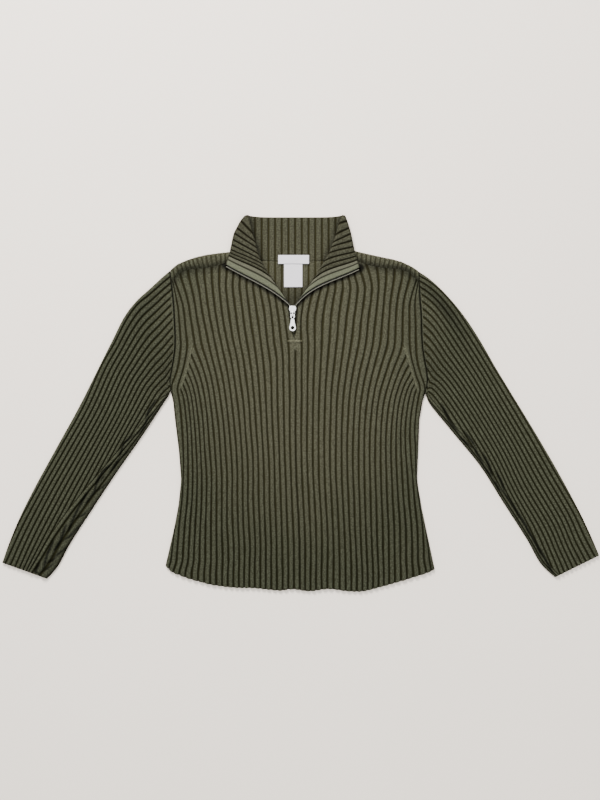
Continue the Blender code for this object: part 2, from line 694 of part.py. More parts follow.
LAPEL_ZIP = LAPEL_RIBS + 1
BED_MARGIN = 0.04
FACING_RANKS = (0.09, 0.5, 0.93)     # from the last rib to the zip
FACING_COLOUR = (0.16, 0.165, 0.11)
STAND_GUESS = 275.0
STAND_STEPS = 4
STAND_TIP_POWER = 6
BLOCK_SHARES = (0.0, 0.12, 0.3, 0.5, 0.7, 0.88, 0.97, 1.0)
BLOCK_WALL_INSETS = (1.2, 2.5)
STAND_EDGE_DIP = 0.5


def lapel_points(side, rank, share):
    """Points on a lapel: rank counts valleys from the tip, share runs from roll to outer edge."""
    rows = lapel_rows(side)
    steps = np.arange(LAPEL_ZIP + 1)
    outer = np.stack([smooth(steps, rows["outer_x"], rank), smooth(steps, rows["outer_y"], rank)],
                     axis=-1)
    roll = np.stack([smooth(steps, rows["roll_x"], rank), smooth(steps, rows["roll_y"], rank)],
                    axis=-1)
    shares, ribbed, bed, strength = np.array(LAPEL_SECTION).T
    xy = roll + (outer - roll) * share[..., None]
    z_rib = np.interp(share, shares, ribbed)
    z_rib = z_rib + LAPEL_RIB_RISE * rib(rank) * np.interp(share, shares, strength)
    z_bed = np.interp(share, shares, bed)
    on_bed = np.clip((rank - LAPEL_RIBS) / BED_MARGIN, 0.0, 1.0)
    return np.concatenate([xy, (z_rib + (z_bed - z_rib) * on_bed)[..., None]], axis=-1)


def make_lapel(side):
    """One turned-over front of the collar, closed below; it is joined to the stand."""
    bed = (LAPEL_RIBS + BED_MARGIN, LAPEL_RIBS + 0.5, LAPEL_ZIP - BED_MARGIN, LAPEL_ZIP)
    ranks = np.concatenate([rib_columns(0, LAPEL_RIBS), bed])
    rank, share = np.meshgrid(ranks, np.array(LAPEL_SECTION)[:, 0])
    points = lapel_points(side, rank, share)
    points[:, -1, 2] -= STAND_EDGE_DIP
    bm = new_mesh()
    add_grid(bm, points)
    weld(bm)
    close_below(bm, LAPEL_UNDER)
    return as_cutter(finish("lapel_" + side, bm, None))


def stand_block():
    """Grid of the collar's stand and of the layers folded under both lapels."""
    near, far = BLOCK_WALL_INSETS
    ribs = STAND_LEFT + (STAND_RIGHT - STAND_LEFT) * rib_columns(0, STAND_RIBS) / STAND_RIBS
    shares = np.array(BLOCK_SHARES)[:, None]
    count = len(ribs) + 6

    def across(y):
        """x of each column at the heights y."""
        left, right = roll_x("left", y), roll_x("right", y)
        x = np.empty_like(y)
        x[:, 0] = np.minimum(outer_x("left", y[:, 0]) + HIDDEN_INSET, left[:, 0] - far - near)
        x[:, 1] = left[:, 1] - far
        x[:, 2] = left[:, 2] - near
        x[:, -3] = right[:, -3] + near
        x[:, -2] = right[:, -2] + far
        x[:, -1] = np.maximum(outer_x("right", y[:, -1]) - HIDDEN_INSET,
                              right[:, -1] + far + near)
        x[:, 3:-3] = np.clip(ribs, left[:, 3:-3] - near, right[:, 3:-3] + near)
        return x

    y = np.broadcast_to(STAND_GUESS + (STAND_TOP - STAND_GUESS) * shares, (len(shares), count))
    middle = (STAND_LEFT + STAND_RIGHT) / 2
    for _ in range(STAND_STEPS):
        x = across(y)
        foot = line(COLLAR_FOOT, x) + 1.5 * SEAM_GAP
        tip = np.abs((x - middle) / (STAND_RIGHT - middle)) ** STAND_TIP_POWER
        head = STAND_TOP + STAND_TIP_RISE * np.minimum(tip, 1.0)
        y = foot + (head - foot) * shares
    x = across(y)
    z = np.full_like(x, HIDDEN_LAYERS)
    z[:, 2:-2] = BACK_WALL
    phase = (x - STAND_LEFT) / (STAND_RIGHT - STAND_LEFT) * STAND_RIBS
    clear = (x > roll_x("left", y)) & (x < roll_x("right", y))
    z = np.where(clear, BACK_VALLEY + (BACK_WALL - BACK_VALLEY) * rib(phase), z)
    z[-1] -= STAND_EDGE_DIP
    return np.stack([x, y, z], axis=-1)


def join(target, *others):
    """Unite the other bodies with the target by Boolean modifiers that stay live."""
    for other in others:
        union = target.modifiers.new("join_" + other.name, "BOOLEAN")
        union.operation = "UNION"
        union.object = other


def make_collar(material):
    """The collar: its ribbed stand behind the neck and both turned-over fronts."""
    bm = new_mesh()
    add_grid(bm, stand_block())
    weld(bm)
    close_below(bm, 0.0, foot=True)
    collar = finish("collar", bm, material)
    join(collar, make_lapel("left"), make_lapel("right"))


def make_facing(side, material):
    """The smooth strip that covers the zip tape on a lapel, laid on its bed."""
    rank, share = np.meshgrid(LAPEL_RIBS + np.array(FACING_RANKS),
                              np.array(LAPEL_SECTION)[1:-1, 0])
    points = lapel_points(side, rank, share)
    points[..., 2] += SEAM_GAP + FACING_WALL
    slab("zip_facing_" + side, points, FACING_WALL, material)


# ----------------------------------------------------------------------- zip

CHAIN_SHARES = (0.985, 0.75, 0.5, 0.3, 0.15, 0.06, 0.0)
CHAIN_END_Y = 181.0
CHAIN_END_UNDER = 5.4
CHAIN_END_OFFSETS = (0.8, 3.4)


def make_chain(side, material):
    """One half of the zip: tape and teeth along the lapel's free edge, down to the slider."""
    share = np.array(CHAIN_SHARES)
    edge = lapel_points(side, np.full_like(share, LAPEL_ZIP), share)
    along = edge[-1, :2] - edge[0, :2]
    out = np.array([along[1], -along[0]]) / np.linalg.norm(along)
    out = out if out[1] < 0 else -out
    strip = np.stack([edge[:, :2] + out * SEAM_GAP,
                      edge[:, :2] + out * (SEAM_GAP + CHAIN_WIDTH)], axis=1)
    height = np.full(strip.shape[:2] + (1,), CHAIN_UNDER + CHAIN_WALL)
    sign = -1.0 if side == "left" else 1.0
    mouth = [[SLIDER_X + sign * offset, CHAIN_END_Y, CHAIN_END_UNDER + CHAIN_WALL]
             for offset in CHAIN_END_OFFSETS]
    points = np.concatenate([np.concatenate([strip, height], axis=-1), [mouth]])
    slab("zip_chain_" + side, points, CHAIN_WALL, material)


def prism(name, outline, low, high, material, holes=(), axis="z"):
    """A body of even thickness from an outline and its holes.

    The outline lies in x and y, or in y and z when the axis is x.
    """
    bm = new_mesh()
    edges = []
    for loop in (outline, *holes):
        if axis == "z":
            verts = [bm.verts.new((u * MM, v * MM, low * MM)) for u, v in loop]
        else:
            verts = [bm.verts.new((low * MM, u * MM, v * MM)) for u, v in loop]
        edges += [bm.edges.new((a, b)) for a, b in zip(verts, verts[1:] + verts[:1])]
    bmesh.ops.triangle_fill(bm, use_beauty=True, edges=edges)
    raised = bmesh.ops.extrude_face_region(bm, geom=bm.faces[:])["geom"]
    for vert in (g for g in raised if isinstance(g, bmesh.types.BMVert)):
        vert.co[2 if axis == "z" else 0] = high * MM
    return finish(name, bm, material, smooth_angle=METAL_SMOOTH)


SLIDER_OUTLINE = (  # half width, y
    (3.2, 180.5), (5.2, 179.2), (6.0, 176.8), (5.6, 172.0), (5.0, 167.0), (4.5, 163.0),
    (3.4, 161.5),
)
POST_OUTLINE = ((-1.5, 180.1), (-1.9, 178.0), (-0.6, 174.0), (0.6, 174.0), (1.9, 178.0),
                (1.5, 180.1))
FLANGE_OUTLINE = ((5.4, 173.0), (4.5, 173.0), (3.6, 164.0), (4.4, 164.0))
FLANGE_DEPTH = 1.0
ARCH_OUTLINE = (  # y, z round the arch's side
    (161.9, 8.7), (161.9, 12.3), (162.9, 13.3), (170.0, 13.3), (173.0, 9.9), (173.0, 8.7),
    (170.8, 8.7), (169.4, 12.0), (163.2, 12.0), (163.2, 8.7),
)
ARCH_HALF_WIDTH = 1.2
OVERLAP = 0.3


def make_slider(material):
    """The slider: two plates on a post, side flanges, and the arch that holds the pull."""
    right = [(SLIDER_X + half, y) for half, y in SLIDER_OUTLINE]
    left = [(SLIDER_X - half, y) for half, y in reversed(SLIDER_OUTLINE)]
    plate = prism("slider", right + left, *UPPER_PLATE, material)
    lower = prism("slider_lower_plate", right + left, *LOWER_PLATE, material)
    post = prism("slider_post", [(SLIDER_X + x, y) for x, y in POST_OUTLINE],
                 LOWER_PLATE[1] - OVERLAP, UPPER_PLATE[0] + OVERLAP, material)
    flanges = []
    for number, sign in enumerate((1.0, -1.0)):
        outline = [(SLIDER_X + sign * x, y) for x, y in FLANGE_OUTLINE]
        flanges.append(prism("slider_flange_%d" % number, outline,
                             UPPER_PLATE[0] - FLANGE_DEPTH, UPPER_PLATE[0] + OVERLAP, material))
    arch = prism("slider_arch", ARCH_OUTLINE, SLIDER_X - ARCH_HALF_WIDTH,
                 SLIDER_X + ARCH_HALF_WIDTH, material, axis="x")
    join(plate, *[as_cutter(obj) for obj in (lower, post, *flanges, arch)])


def arc(x, y, radius, start, end, count):
    """Points on an arc, with the angles in degrees."""
    angles = np.radians(np.linspace(start, end, count))
    return [(x + radius * math.cos(a), y + radius * math.sin(a)) for a in angles]


def make_pull(material):
    """The pull tab, hinged on the crossbar that its window leaves under the slider's arch."""
    bar, near, far = PULL_WINDOW
    head, foot = PULL_NECK_ENDS
    neck = [(-PULL_NECK, -foot), (-PULL_NECK, head), (PULL_NECK, head), (PULL_NECK, -foot)]
    ring = arc(0.0, -PULL_REACH, PULL_RING, *PULL_RING_ARC)
    window = [(-bar, -near), (bar, -near), (bar, -far), (-bar, -far)]
    hole = arc(0.0, -PULL_REACH, PULL_HOLE, *PULL_HOLE_ARC)
    pull = prism("zip_pull", neck + ring, -PULL_WALL / 2, PULL_WALL / 2, material,
                 holes=(window, hole))
    pull.location = (SLIDER_X * MM, HINGE_Y * MM, HINGE_Z * MM)
    pull.rotation_euler = (PULL_REST_TILT, 0.0, 0.0)


# -------------------------------------------------------------------- labels

def make_label(name, sizes, material):
    """A blank woven label lying flat inside the neck."""
    left, right, bottom, top, under, over = sizes
    x, y = np.meshgrid(np.linspace(left, right, LABEL_POINTS),
                       np.linspace(bottom, top, LABEL_POINTS))
    slab(name, np.stack([x, y, np.full_like(x, over)], axis=-1), over - under, material)


def main():
    """Clear the scene and build every piece."""
    for obj in list(bpy.data.objects):
        bpy.data.objects.remove(obj, do_unlink=True)
    knit = principled("olive_knit", KNIT_COLOUR, 0.92)
    make_front(knit)
    make_back(knit)
    make_sleeve("left", LEFT_SLEEVE, LEFT_ROLL, knit)
    make_sleeve("right", RIGHT_SLEEVE, RIGHT_ROLL, knit)
    make_collar(knit)
    facing = principled("facing_tape", FACING_COLOUR, 0.75)
    tape = principled("zip_tape", TAPE_COLOUR, 0.6)
    steel = principled("bright_nickel", NICKEL_COLOUR, 0.25, metallic=1.0)
    satin = principled("white_label", LABEL_COLOUR, 0.6)
    for side in ("left", "right"):
        make_facing(side, facing)
        make_chain(side, tape)
    make_slider(steel)
    make_pull(steel)
    make_label("neck_label", NECK_LABEL, satin)
    make_label("care_label", CARE_LABEL, satin)


main()
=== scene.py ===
"""Quarter zip sweater in a 2 by 2 rib knit, laid flat: the looks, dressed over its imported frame.

Every piece is a surface worked out with numpy in millimetres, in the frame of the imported
model: x across the body, y towards the collar, z up from the floor.  MM turns a finished
piece into metres.  A panel is a closed shell: a finely ribbed upper face, a plainer lower
face, and a border that both share.
"""

import math

import bpy
import numpy as np
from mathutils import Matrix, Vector


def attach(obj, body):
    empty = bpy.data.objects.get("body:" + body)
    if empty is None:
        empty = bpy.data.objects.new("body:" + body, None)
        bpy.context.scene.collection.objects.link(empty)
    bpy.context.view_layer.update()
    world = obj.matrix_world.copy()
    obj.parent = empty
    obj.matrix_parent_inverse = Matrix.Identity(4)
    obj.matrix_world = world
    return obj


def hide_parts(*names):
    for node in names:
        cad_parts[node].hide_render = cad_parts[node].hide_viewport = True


bl_info = {
    "name": "Quarter Zip Sweater",
    "version": (1, 0, 0),
    "blender": (4, 5, 0),
    "location": "View3D > Sidebar > Sweater",
    "description": "Builds a ribbed quarter zip sweater laid flat, piece by piece",
    "category": "Add Mesh",
}

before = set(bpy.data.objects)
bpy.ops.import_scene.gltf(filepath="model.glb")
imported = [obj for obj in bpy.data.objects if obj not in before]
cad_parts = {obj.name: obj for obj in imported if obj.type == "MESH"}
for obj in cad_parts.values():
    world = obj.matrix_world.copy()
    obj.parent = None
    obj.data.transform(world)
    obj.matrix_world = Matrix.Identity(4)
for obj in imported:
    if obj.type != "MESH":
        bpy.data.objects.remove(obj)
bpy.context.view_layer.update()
MM = 0.001
GARMENT = "sweater"
PULL = "pull"
SIDES = ("left", "right")
SIGN = {"left": -1.0, "right": 1.0}

# ------------------------------------------------------------ the cut, in millimetres

MAIN_RIBS = 21
BAND_RIBS = 3
SIDE_RIBS = MAIN_RIBS + BAND_RIBS
FASHION_START, FASHION_END = 24.4, 107.8
YOKE = 121.0
ARMPIT = 12.0
CLOSED_SHARE = 0.9985

EDGE_COLUMNS = ("y", "left", "right")
EDGE_ROWS = (  # the body's side edges
    (-355.0, -265.0, 262.5), (-304.5, -252.0, 251.0), (-248.5, -239.0, 239.0),
    (-201.5, -229.0, 229.0), (-145.5, -223.0, 219.5), (-89.0, -227.5, 222.0),
    (-33.0, -234.5, 224.0), (1.0, -238.0, 229.8), (19.5, -242.3, 235.4), (42.0, -244.6, 240.2),
    (61.0, -241.6, 238.4), (79.5, -238.0, 234.5), (102.0, -235.0, 231.0), (121.0, -234.5, 229.5),
    (136.0, -235.0, 229.3), (154.5, -236.0, 228.8), (177.0, -236.8, 227.4),
    (192.0, -238.1, 225.9), (220.5, -241.1, 224.1), (248.5, -244.1, 223.1),
    (276.5, -246.5, 222.2),
)
RIB_COLUMNS = ("y", "count", "x0", "x1", "x2", "x3", "x4", "x5", "band", "side")
LEFT_RIBS = (  # main ribs at y, six even steps across them, then two valleys of the side band
    (-355.3, 21, -0.2, -45.3, -88.6, -130.7, -176.6, -224.4, -240.5, -252.5),
    (-317.8, 21, -0.2, -45.2, -88.6, -130.8, -177.1, -226.0, -237.2, -248.4),
    (-299.1, 21, -0.2, -45.7, -88.3, -129.9, -175.6, -220.7, -231.8, -242.6),
    (-276.6, 21, -0.5, -45.6, -87.6, -130.1, -175.4, -218.9, -229.7, -240.0),
    (-229.7, 21, -2.1, -46.9, -89.4, -132.3, -174.8, -215.5, -226.5, -234.6),
    (-182.8, 21, -4.3, -48.5, -91.5, -132.8, -173.5, -211.1, -221.8, -226.7),
    (-135.9, 21, -6.7, -49.3, -91.4, -132.7, -173.3, -209.5, -219.0, -223.3),
    (-89.1, 21, -8.1, -50.9, -93.0, -135.3, -176.4, -209.9, -218.8, -227.1),
    (-51.6, 21, -8.1, -52.9, -96.1, -138.1, -178.9, -211.5, -220.7, -231.8),
    (-23.4, 21, -8.0, -54.1, -97.9, -141.2, -181.4, -214.1, -222.6, -235.1),
    (-2.8, 21, -7.7, -55.0, -99.5, -143.9, -184.0, -216.4, -224.8, -237.2),
    (12.2, 21, -7.6, -55.4, -101.3, -145.9, -186.4, -219.2, -227.3, -240.1),
    (24.4, 21, -7.7, -55.7, -102.7, -147.7, -188.7, -223.5, -229.2, -241.7),
    (34.1, 20, -8.0, -53.6, -99.6, -143.0, -183.6, -219.8, -227.4, -240.5),
    (45.9, 18.9, -8.1, -51.4, -96.0, -137.9, -177.9, -215.2, -223.9, -235.3),
    (61.9, 17.7, -8.2, -49.3, -92.4, -132.8, -172.2, -210.6, -218.8, -229.5),
    (77.8, 16.7, -8.3, -47.6, -89.8, -128.8, -167.6, -207.0, -215.1, -226.1),
    (94.7, 15.75, -8.2, -47.2, -87.5, -125.8, -162.9, -202.8, -212.1, -224.2),
    (107.8, 15, -8.5, -47.5, -85.4, -123.6, -158.4, -197.0, -211.3, -222.9),
    (120.9, 15, -10.2, -49.0, -87.3, -126.2, -161.2, -198.9, -212.2, -224.1),
    (139.7, 15, -13.4, -50.6, -90.2, -129.4, -165.0, -201.7, -214.5, -225.4),
    (158.4, 15, -15.4, -52.6, -92.8, -132.0, -168.8, -205.0, -216.2, -226.9),
    (177.2, 15, -18.9, -55.2, -95.3, -134.4, -172.0, -207.7, -218.6, -228.8),
    (195.9, 15, -20.5, -58.6, -97.8, -136.6, -174.3, -211.5, -223.9, -232.1),
    (214.7, 15, -22.0, -61.8, -100.3, -138.6, -176.4, -216.9, -230.4, -235.9),
    (233.4, 15, -22.0, -61.0, -99.5, -138.1, -178.8, -222.8, -237.4, -240.0),
    (263.4, 15, -16.0, -56.0, -96.0, -135.6, -180.6, -227.0, -243.3, -244.3),
)
RIGHT_RIBS = (
    (-355.3, 21, -0.2, 42.8, 90.1, 133.0, 175.8, 223.0, 239.9, 250.7),
    (-317.8, 21, -0.3, 42.7, 90.1, 133.2, 175.9, 223.9, 237.2, 246.9),
    (-299.1, 21, -0.2, 43.2, 89.8, 132.3, 175.5, 221.5, 233.2, 243.8),
    (-276.6, 21, -0.4, 43.6, 89.1, 131.1, 175.3, 221.4, 232.5, 241.3),
    (-229.7, 21, -2.1, 42.7, 86.9, 129.5, 174.6, 219.8, 229.9, 234.6),
    (-182.8, 21, -4.3, 40.1, 84.9, 128.4, 172.0, 214.8, 223.7, 225.4),
    (-135.9, 21, -6.8, 37.8, 82.7, 127.2, 170.1, 211.2, 218.1, 219.6),
    (-89.1, 21, -8.0, 37.1, 82.3, 126.8, 168.9, 207.4, 217.3, 221.6),
    (-51.6, 21, -8.0, 37.2, 83.0, 127.7, 169.8, 206.1, 215.3, 222.9),
    (-23.4, 21, -7.8, 37.7, 84.2, 129.6, 172.1, 208.2, 217.5, 225.2),
    (-2.8, 21, -7.6, 38.1, 85.1, 131.8, 174.9, 211.5, 220.5, 228.8),
    (12.2, 21, -7.6, 38.6, 86.3, 134.1, 178.2, 214.6, 223.1, 232.8),
    (24.4, 21, -7.8, 38.8, 87.7, 136.2, 182.0, 218.4, 225.0, 235.1),
    (34.1, 20, -8.2, 37.0, 84.2, 131.4, 177.0, 215.7, 223.6, 233.2),
    (45.9, 18.8, -8.2, 34.8, 80.2, 125.3, 170.5, 211.7, 218.8, 228.6),
    (61.9, 17.6, -8.3, 32.7, 76.4, 120.1, 164.3, 207.1, 214.3, 223.5),
    (77.8, 16.5, -8.4, 30.8, 72.9, 115.7, 158.0, 202.0, 210.2, 219.9),
    (94.7, 15.6, -8.0, 29.3, 70.3, 112.3, 153.6, 196.9, 207.2, 218.1),
    (107.8, 15, -8.4, 28.1, 68.5, 109.8, 150.3, 191.5, 206.1, 217.7),
    (120.9, 15, -10.1, 27.9, 69.9, 111.7, 151.8, 192.4, 205.7, 217.1),
    (139.7, 15, -12.8, 27.7, 71.6, 113.6, 153.2, 192.5, 205.7, 216.8),
    (158.4, 15, -12.9, 28.4, 73.1, 115.5, 155.0, 192.8, 205.5, 216.4),
    (177.2, 15, -9.5, 31.1, 75.5, 118.4, 156.7, 193.5, 205.3, 215.6),
    (195.9, 15, -5.5, 35.0, 78.2, 120.9, 158.4, 196.1, 208.5, 216.6),
    (214.7, 15, -2.0, 39.5, 80.5, 122.1, 160.5, 201.0, 214.1, 219.7),
    (233.4, 15, 0.0, 39.0, 78.4, 117.7, 162.0, 206.2, 220.5, 222.4),
    (263.4, 15, -6.0, 31.0, 68.6, 106.0, 160.5, 208.7, 222.8, 222.8),
)
SLIT_ROWS = (  # the edges of the opening's slit
    (121.0, -11.3, -11.3), (136.0, -14.4, -8.1), (154.5, -17.6, -6.4), (177.0, -21.0, -5.3),
    (192.0, -21.4, -6.8), (220.5, -25.3, -2.8), (248.5, -29.1, 1.9), (276.5, -32.8, 6.6),
)
HEM = (  # x, y along the bottom edge
    (-253.0, -306.5), (-244.0, -316.0), (-225.0, -325.0), (-206.0, -332.0), (-187.5, -337.0),
    (-169.0, -342.0), (-150.0, -345.0), (-122.0, -348.0), (-84.5, -349.0), (-56.0, -352.0),
    (-37.5, -353.5), (-19.0, -351.0), (19.0, -354.5), (52.5, -350.5), (94.0, -355.0),
    (116.0, -355.0), (150.0, -347.0), (187.5, -336.5), (221.0, -326.0), (244.0, -318.0),
    (255.0, -312.0),
)
LEFT_SEAM = (  # x, y along the front's upper edge, from the shoulder's end to the zip
    (-241.7, 226.0), (-235.2, 232.8), (-229.0, 239.0), (-222.8, 244.5), (-210.6, 249.0),
    (-198.0, 251.3), (-172.4, 253.5), (-147.3, 259.0), (-135.1, 264.0), (-122.7, 268.5),
    (-109.9, 269.5), (-96.5, 267.0), (-83.0, 263.5), (-68.9, 255.0), (-53.2, 235.5),
    (-36.3, 209.0), (-21.2, 187.5),
)
RIGHT_SEAM = (
    (-6.5, 187.5), (8.6, 209.0), (26.8, 235.5), (43.6, 255.0), (58.5, 263.5), (72.6, 267.0),
    (86.5, 269.5), (99.9, 268.5), (112.7, 264.0), (125.5, 259.0), (151.8, 253.5),
    (178.6, 251.3), (191.8, 249.0), (204.7, 244.5), (210.5, 239.0), (216.8, 232.8),
    (223.9, 226.0),
)
LEFT_SHOULDER = (  # x, y of the fold along the top of the shoulder
    (-248.0, 243.5), (-244.0, 246.5), (-234.5, 253.0), (-225.0, 259.5), (-206.0, 267.0),
    (-187.5, 273.0), (-169.0, 277.5), (-150.0, 280.5), (-123.0, 283.5),
)
RIGHT_SHOULDER = (
    (99.0, 285.5), (131.0, 277.5), (150.0, 273.0), (169.0, 269.0), (187.5, 264.0),
    (206.0, 256.0), (215.5, 250.5), (225.0, 244.5), (229.0, 241.5),
)
NECKLINE = (  # x, y of the seam between the back and the collar
    (-123.0, 283.0), (-116.0, 276.0), (-100.0, 270.5), (-70.0, 266.5), (-13.0, 264.0),
    (45.0, 266.5), (75.0, 270.5), (91.0, 277.0), (99.0, 285.0),
)
STRIP_RIBS = 15
NECK_ENDS = {"left": NECKLINE[0][0], "right": NECKLINE[-1][0]}
SEAMS = {"left": LEFT_SEAM, "right": RIGHT_SEAM}
SHOULDERS = {"left": LEFT_SHOULDER, "right": RIGHT_SHOULDER}

SLEEVE_COLUMNS = ("outer_x", "outer_y", "crease_x", "crease_y", "inner_x", "inner_y", "ribs",
                  "first", "lean", "bend", "ridge")
LEFT_SLEEVE = (  # from the armhole to the cuff, in even steps
    (-244.0, 247.3, -242.0, 23.0, -242.0, 21.5, 15.4, 0.00, -0.22, -0.02, 0.6),
    (-281.0, 213.0, -243.3, 21.5, -243.0, 20.0, 15.7, 0.12, -0.01, -0.16, 0.6),
    (-307.5, 188.5, -244.5, 20.1, -244.0, 18.7, 15.8, 0.38, 0.12, -0.14, 0.6),
    (-330.0, 158.5, -245.8, 18.2, -245.0, 16.9, 15.9, 0.28, 0.12, -0.08, 1.0),
    (-352.5, 113.5, -250.3, 13.0, -246.6, 12.2, 16.0, 0.27, 0.05, -0.07, 2.2),
    (-375.0, 68.5, -264.6, 3.9, -256.0, -2.0, 15.2, 0.60, 0.03, 0.02, 6.0),
    (-412.5, -6.5, -311.4, -55.5, -296.0, -62.8, 14.2, 0.12, 0.12, -0.05, 6.5),
    (-453.8, -81.5, -370.4, -124.0, -347.0, -136.0, 11.5, 0.22, 0.07, -0.05, 7.4),
    (-495.0, -156.6, -426.6, -190.8, -394.0, -207.0, 9.2, 0.26, -0.01, -0.09, 8.6),
    (-525.0, -216.6, -466.3, -245.5, -430.3, -263.4, 8.1, 0.61, 0.05, -0.05, 8.6),
    (-543.8, -261.6, -490.8, -287.9, -453.8, -306.6, 8.1, 0.85, 0.18, -0.15, 7.4),
    (-557.8, -301.0, -509.1, -318.1, -474.4, -331.0, 8.0, 1.40, 0.43, -0.08, 6.0),
)
RIGHT_SLEEVE = (
    (225.0, 245.6, 234.9, 17.5, 235.0, 16.0, 15.6, 0.04, -0.32, -0.15, 0.6),
    (257.0, 218.5, 236.0, 16.9, 235.8, 15.4, 15.8, 0.51, -0.16, -0.14, 0.6),
    (285.0, 188.5, 236.6, 16.4, 236.2, 15.0, 15.8, 0.66, -0.05, -0.02, 0.6),
    (311.3, 154.5, 238.0, 17.3, 236.6, 14.1, 16.2, 0.38, 0.04, -0.05, 2.5),
    (337.5, 113.5, 240.5, 15.3, 237.2, 11.2, 16.5, 0.39, 0.04, 0.02, 3.7),
    (365.5, 64.5, 253.6, -1.2, 245.6, -5.6, 16.7, 0.54, 0.02, 0.04, 5.8),
    (399.5, 8.5, 296.6, -50.7, 287.0, -56.2, 15.7, 0.60, 0.05, 0.13, 5.9),
    (440.6, -59.0, 346.4, -113.0, 337.5, -118.0, 14.5, 0.52, 0.11, 0.10, 5.7),
    (480.0, -126.6, 388.7, -179.4, 379.7, -184.7, 13.6, 0.36, 0.17, -0.08, 5.5),
    (519.5, -199.7, 433.5, -249.8, 424.7, -255.0, 12.4, 0.73, 0.03, 0.07, 5.4),
    (542.0, -246.6, 459.5, -294.5, 450.0, -300.0, 11.7, 0.85, 0.09, 0.14, 5.2),
    (559.7, -287.8, 486.6, -324.0, 478.0, -328.0, 10.2, 1.12, 0.06, 0.03, 5.0),
)

LAPEL_COLUMNS = ("outer_x", "outer_y", "roll_x", "roll_y")
LEFT_LAPEL = (  # a row for each valley, from the collar's tip to the zip edge
    (-103.0, 350.5, -96.5, 351.5),
    (-111.5, 340.5, -88.0, 316.0),
    (-119.0, 327.0, -82.5, 299.0),
    (-124.0, 317.0, -80.5, 289.0),
    (-127.0, 305.5, -77.0, 277.0),
    (-129.0, 295.5, -72.5, 266.0),
    (-131.0, 286.5, -67.5, 257.0),
    (-132.0, 280.5, -62.0, 246.5),
    (-134.0, 274.8, -54.5, 234.0),
    (-140.0, 258.5, -22.0, 188.0),
)
RIGHT_LAPEL = (
    (84.5, 350.5, 79.0, 351.5),
    (89.0, 339.5, 72.0, 334.5),
    (93.0, 327.0, 66.5, 314.0),
    (96.0, 316.0, 61.0, 299.0),
    (98.5, 303.0, 57.5, 290.0),
    (101.0, 291.5, 53.0, 278.5),
    (103.0, 282.0, 44.5, 264.0),
    (105.5, 274.0, 35.5, 247.5),
    (108.0, 267.0, 24.0, 229.0),
    (112.5, 253.0, -6.0, 188.0),
)
LAPEL_RIBS = 8
LAPEL_ZIP = LAPEL_RIBS + 1
STAND_RIBS = 14
STAND_LEFT, STAND_RIGHT = -97.0, 79.0
STAND_TOP = 348.0
STAND_TIP_RISE = 3.5

# ------------------------------------------------------------ heights, in millimetres

SOLE = 0.3
INNER_RISE = 1.1
BACK_TOP = 2.7
FRONT_UNDER = 3.0
LAPEL_UNDER = 7.5


def table(columns, rows):
    """The rows as one array for each named column."""
    return dict(zip(columns, np.array(rows, float).T))


def both(columns, left, right):
    """The tables of both sides."""
    return {"left": table(columns, left), "right": table(columns, right)}


EDGES = table(EDGE_COLUMNS, EDGE_ROWS)
SLIT = table(EDGE_COLUMNS, SLIT_ROWS)
RIBS = both(RIB_COLUMNS, LEFT_RIBS, RIGHT_RIBS)
SLEEVES = both(SLEEVE_COLUMNS, LEFT_SLEEVE, RIGHT_SLEEVE)
LAPELS = both(LAPEL_COLUMNS, LEFT_LAPEL, RIGHT_LAPEL)
STEPS = ("x0", "x1", "x2", "x3", "x4", "x5")


# ------------------------------------------------------------------ curves and ribs

def curve(knots, values, at):
    """Cubic Hermite curve through the knots; each slope is the mean of its neighbours'."""
    knots, values = np.asarray(knots, float), np.asarray(values, float)
    slopes = np.gradient(values, knots)
    at = np.clip(at, knots[0], knots[-1])
    k = np.clip(np.searchsorted(knots, at, side="right") - 1, 0, len(knots) - 2)
    span = knots[k + 1] - knots[k]
    t = (at - knots[k]) / span
    start = (1 + 2 * t) * (1 - t) ** 2 * values[k] + t * (1 - t) ** 2 * span * slopes[k]
    end = t ** 2 * (3 - 2 * t) * values[k + 1] - t ** 2 * (1 - t) * span * slopes[k + 1]
    return start + end


def blend(values, at):
    """The same curve over even steps: values has one array for each step, at runs 0 to 1."""
    values = np.stack(values)
    slopes = np.gradient(values, axis=0)
    place = at * (len(values) - 1)
    k = np.clip(np.floor(place).astype(int), 0, len(values) - 2)
    t = place - k
    low, high = (np.take_along_axis(values, (k + step)[None], 0)[0] for step in (0, 1))
    rise, fall = (np.take_along_axis(slopes, (k + step)[None], 0)[0] for step in (0, 1))
    start = (1 + 2 * t) * (1 - t) ** 2 * low + t * (1 - t) ** 2 * rise
    return start + t ** 2 * (3 - 2 * t) * high - t ** 2 * (1 - t) * fall


def along(points, at):
    """y at x on a line of (x, y) points."""
    xs, ys = np.array(points, float).T
    return np.interp(at, xs, ys)


def mixed(start, end, share):
    """The value that share of the way from start to end."""
    return start + (end - start) * share


def rounded(distance, radius):
    """Quarter circle: sqrt(1 - (1 - d / r)^2), 0 at the edge and 1 from the radius on."""
    q = np.clip(distance / radius, 0.0, 1.0)
    return np.sqrt(1.0 - (1.0 - q) ** 2)


def ease(value, low, high):
    """Smooth step: 3t^2 - 2t^3 of the value's share of the way from low to high."""
    t = np.clip((value - low) / (high - low), 0.0, 1.0)
    return t * t * (3.0 - 2.0 * t)


def fade(value, low, high):
    """The smooth step turned over: 1 up to low and 0 from high on."""
    return 1.0 - ease(value, low, high)


def rolled(distance, least, reach):
    """Share of its height that cloth keeps at an edge: least there, on a quarter circle."""
    return mixed(least, 1.0, rounded(distance, reach))


def dipped(distance, least, reach):
    """Share of its height that cloth keeps at a seam: least there, on a smooth step."""
    return mixed(least, 1.0, ease(distance, 0.0, reach))


def shade_near(distance, darkness, reach):
    """Painted shade beside an edge or seam: its darkness there, and none from the reach on."""
    return darkness * fade(distance, 0.0, reach)


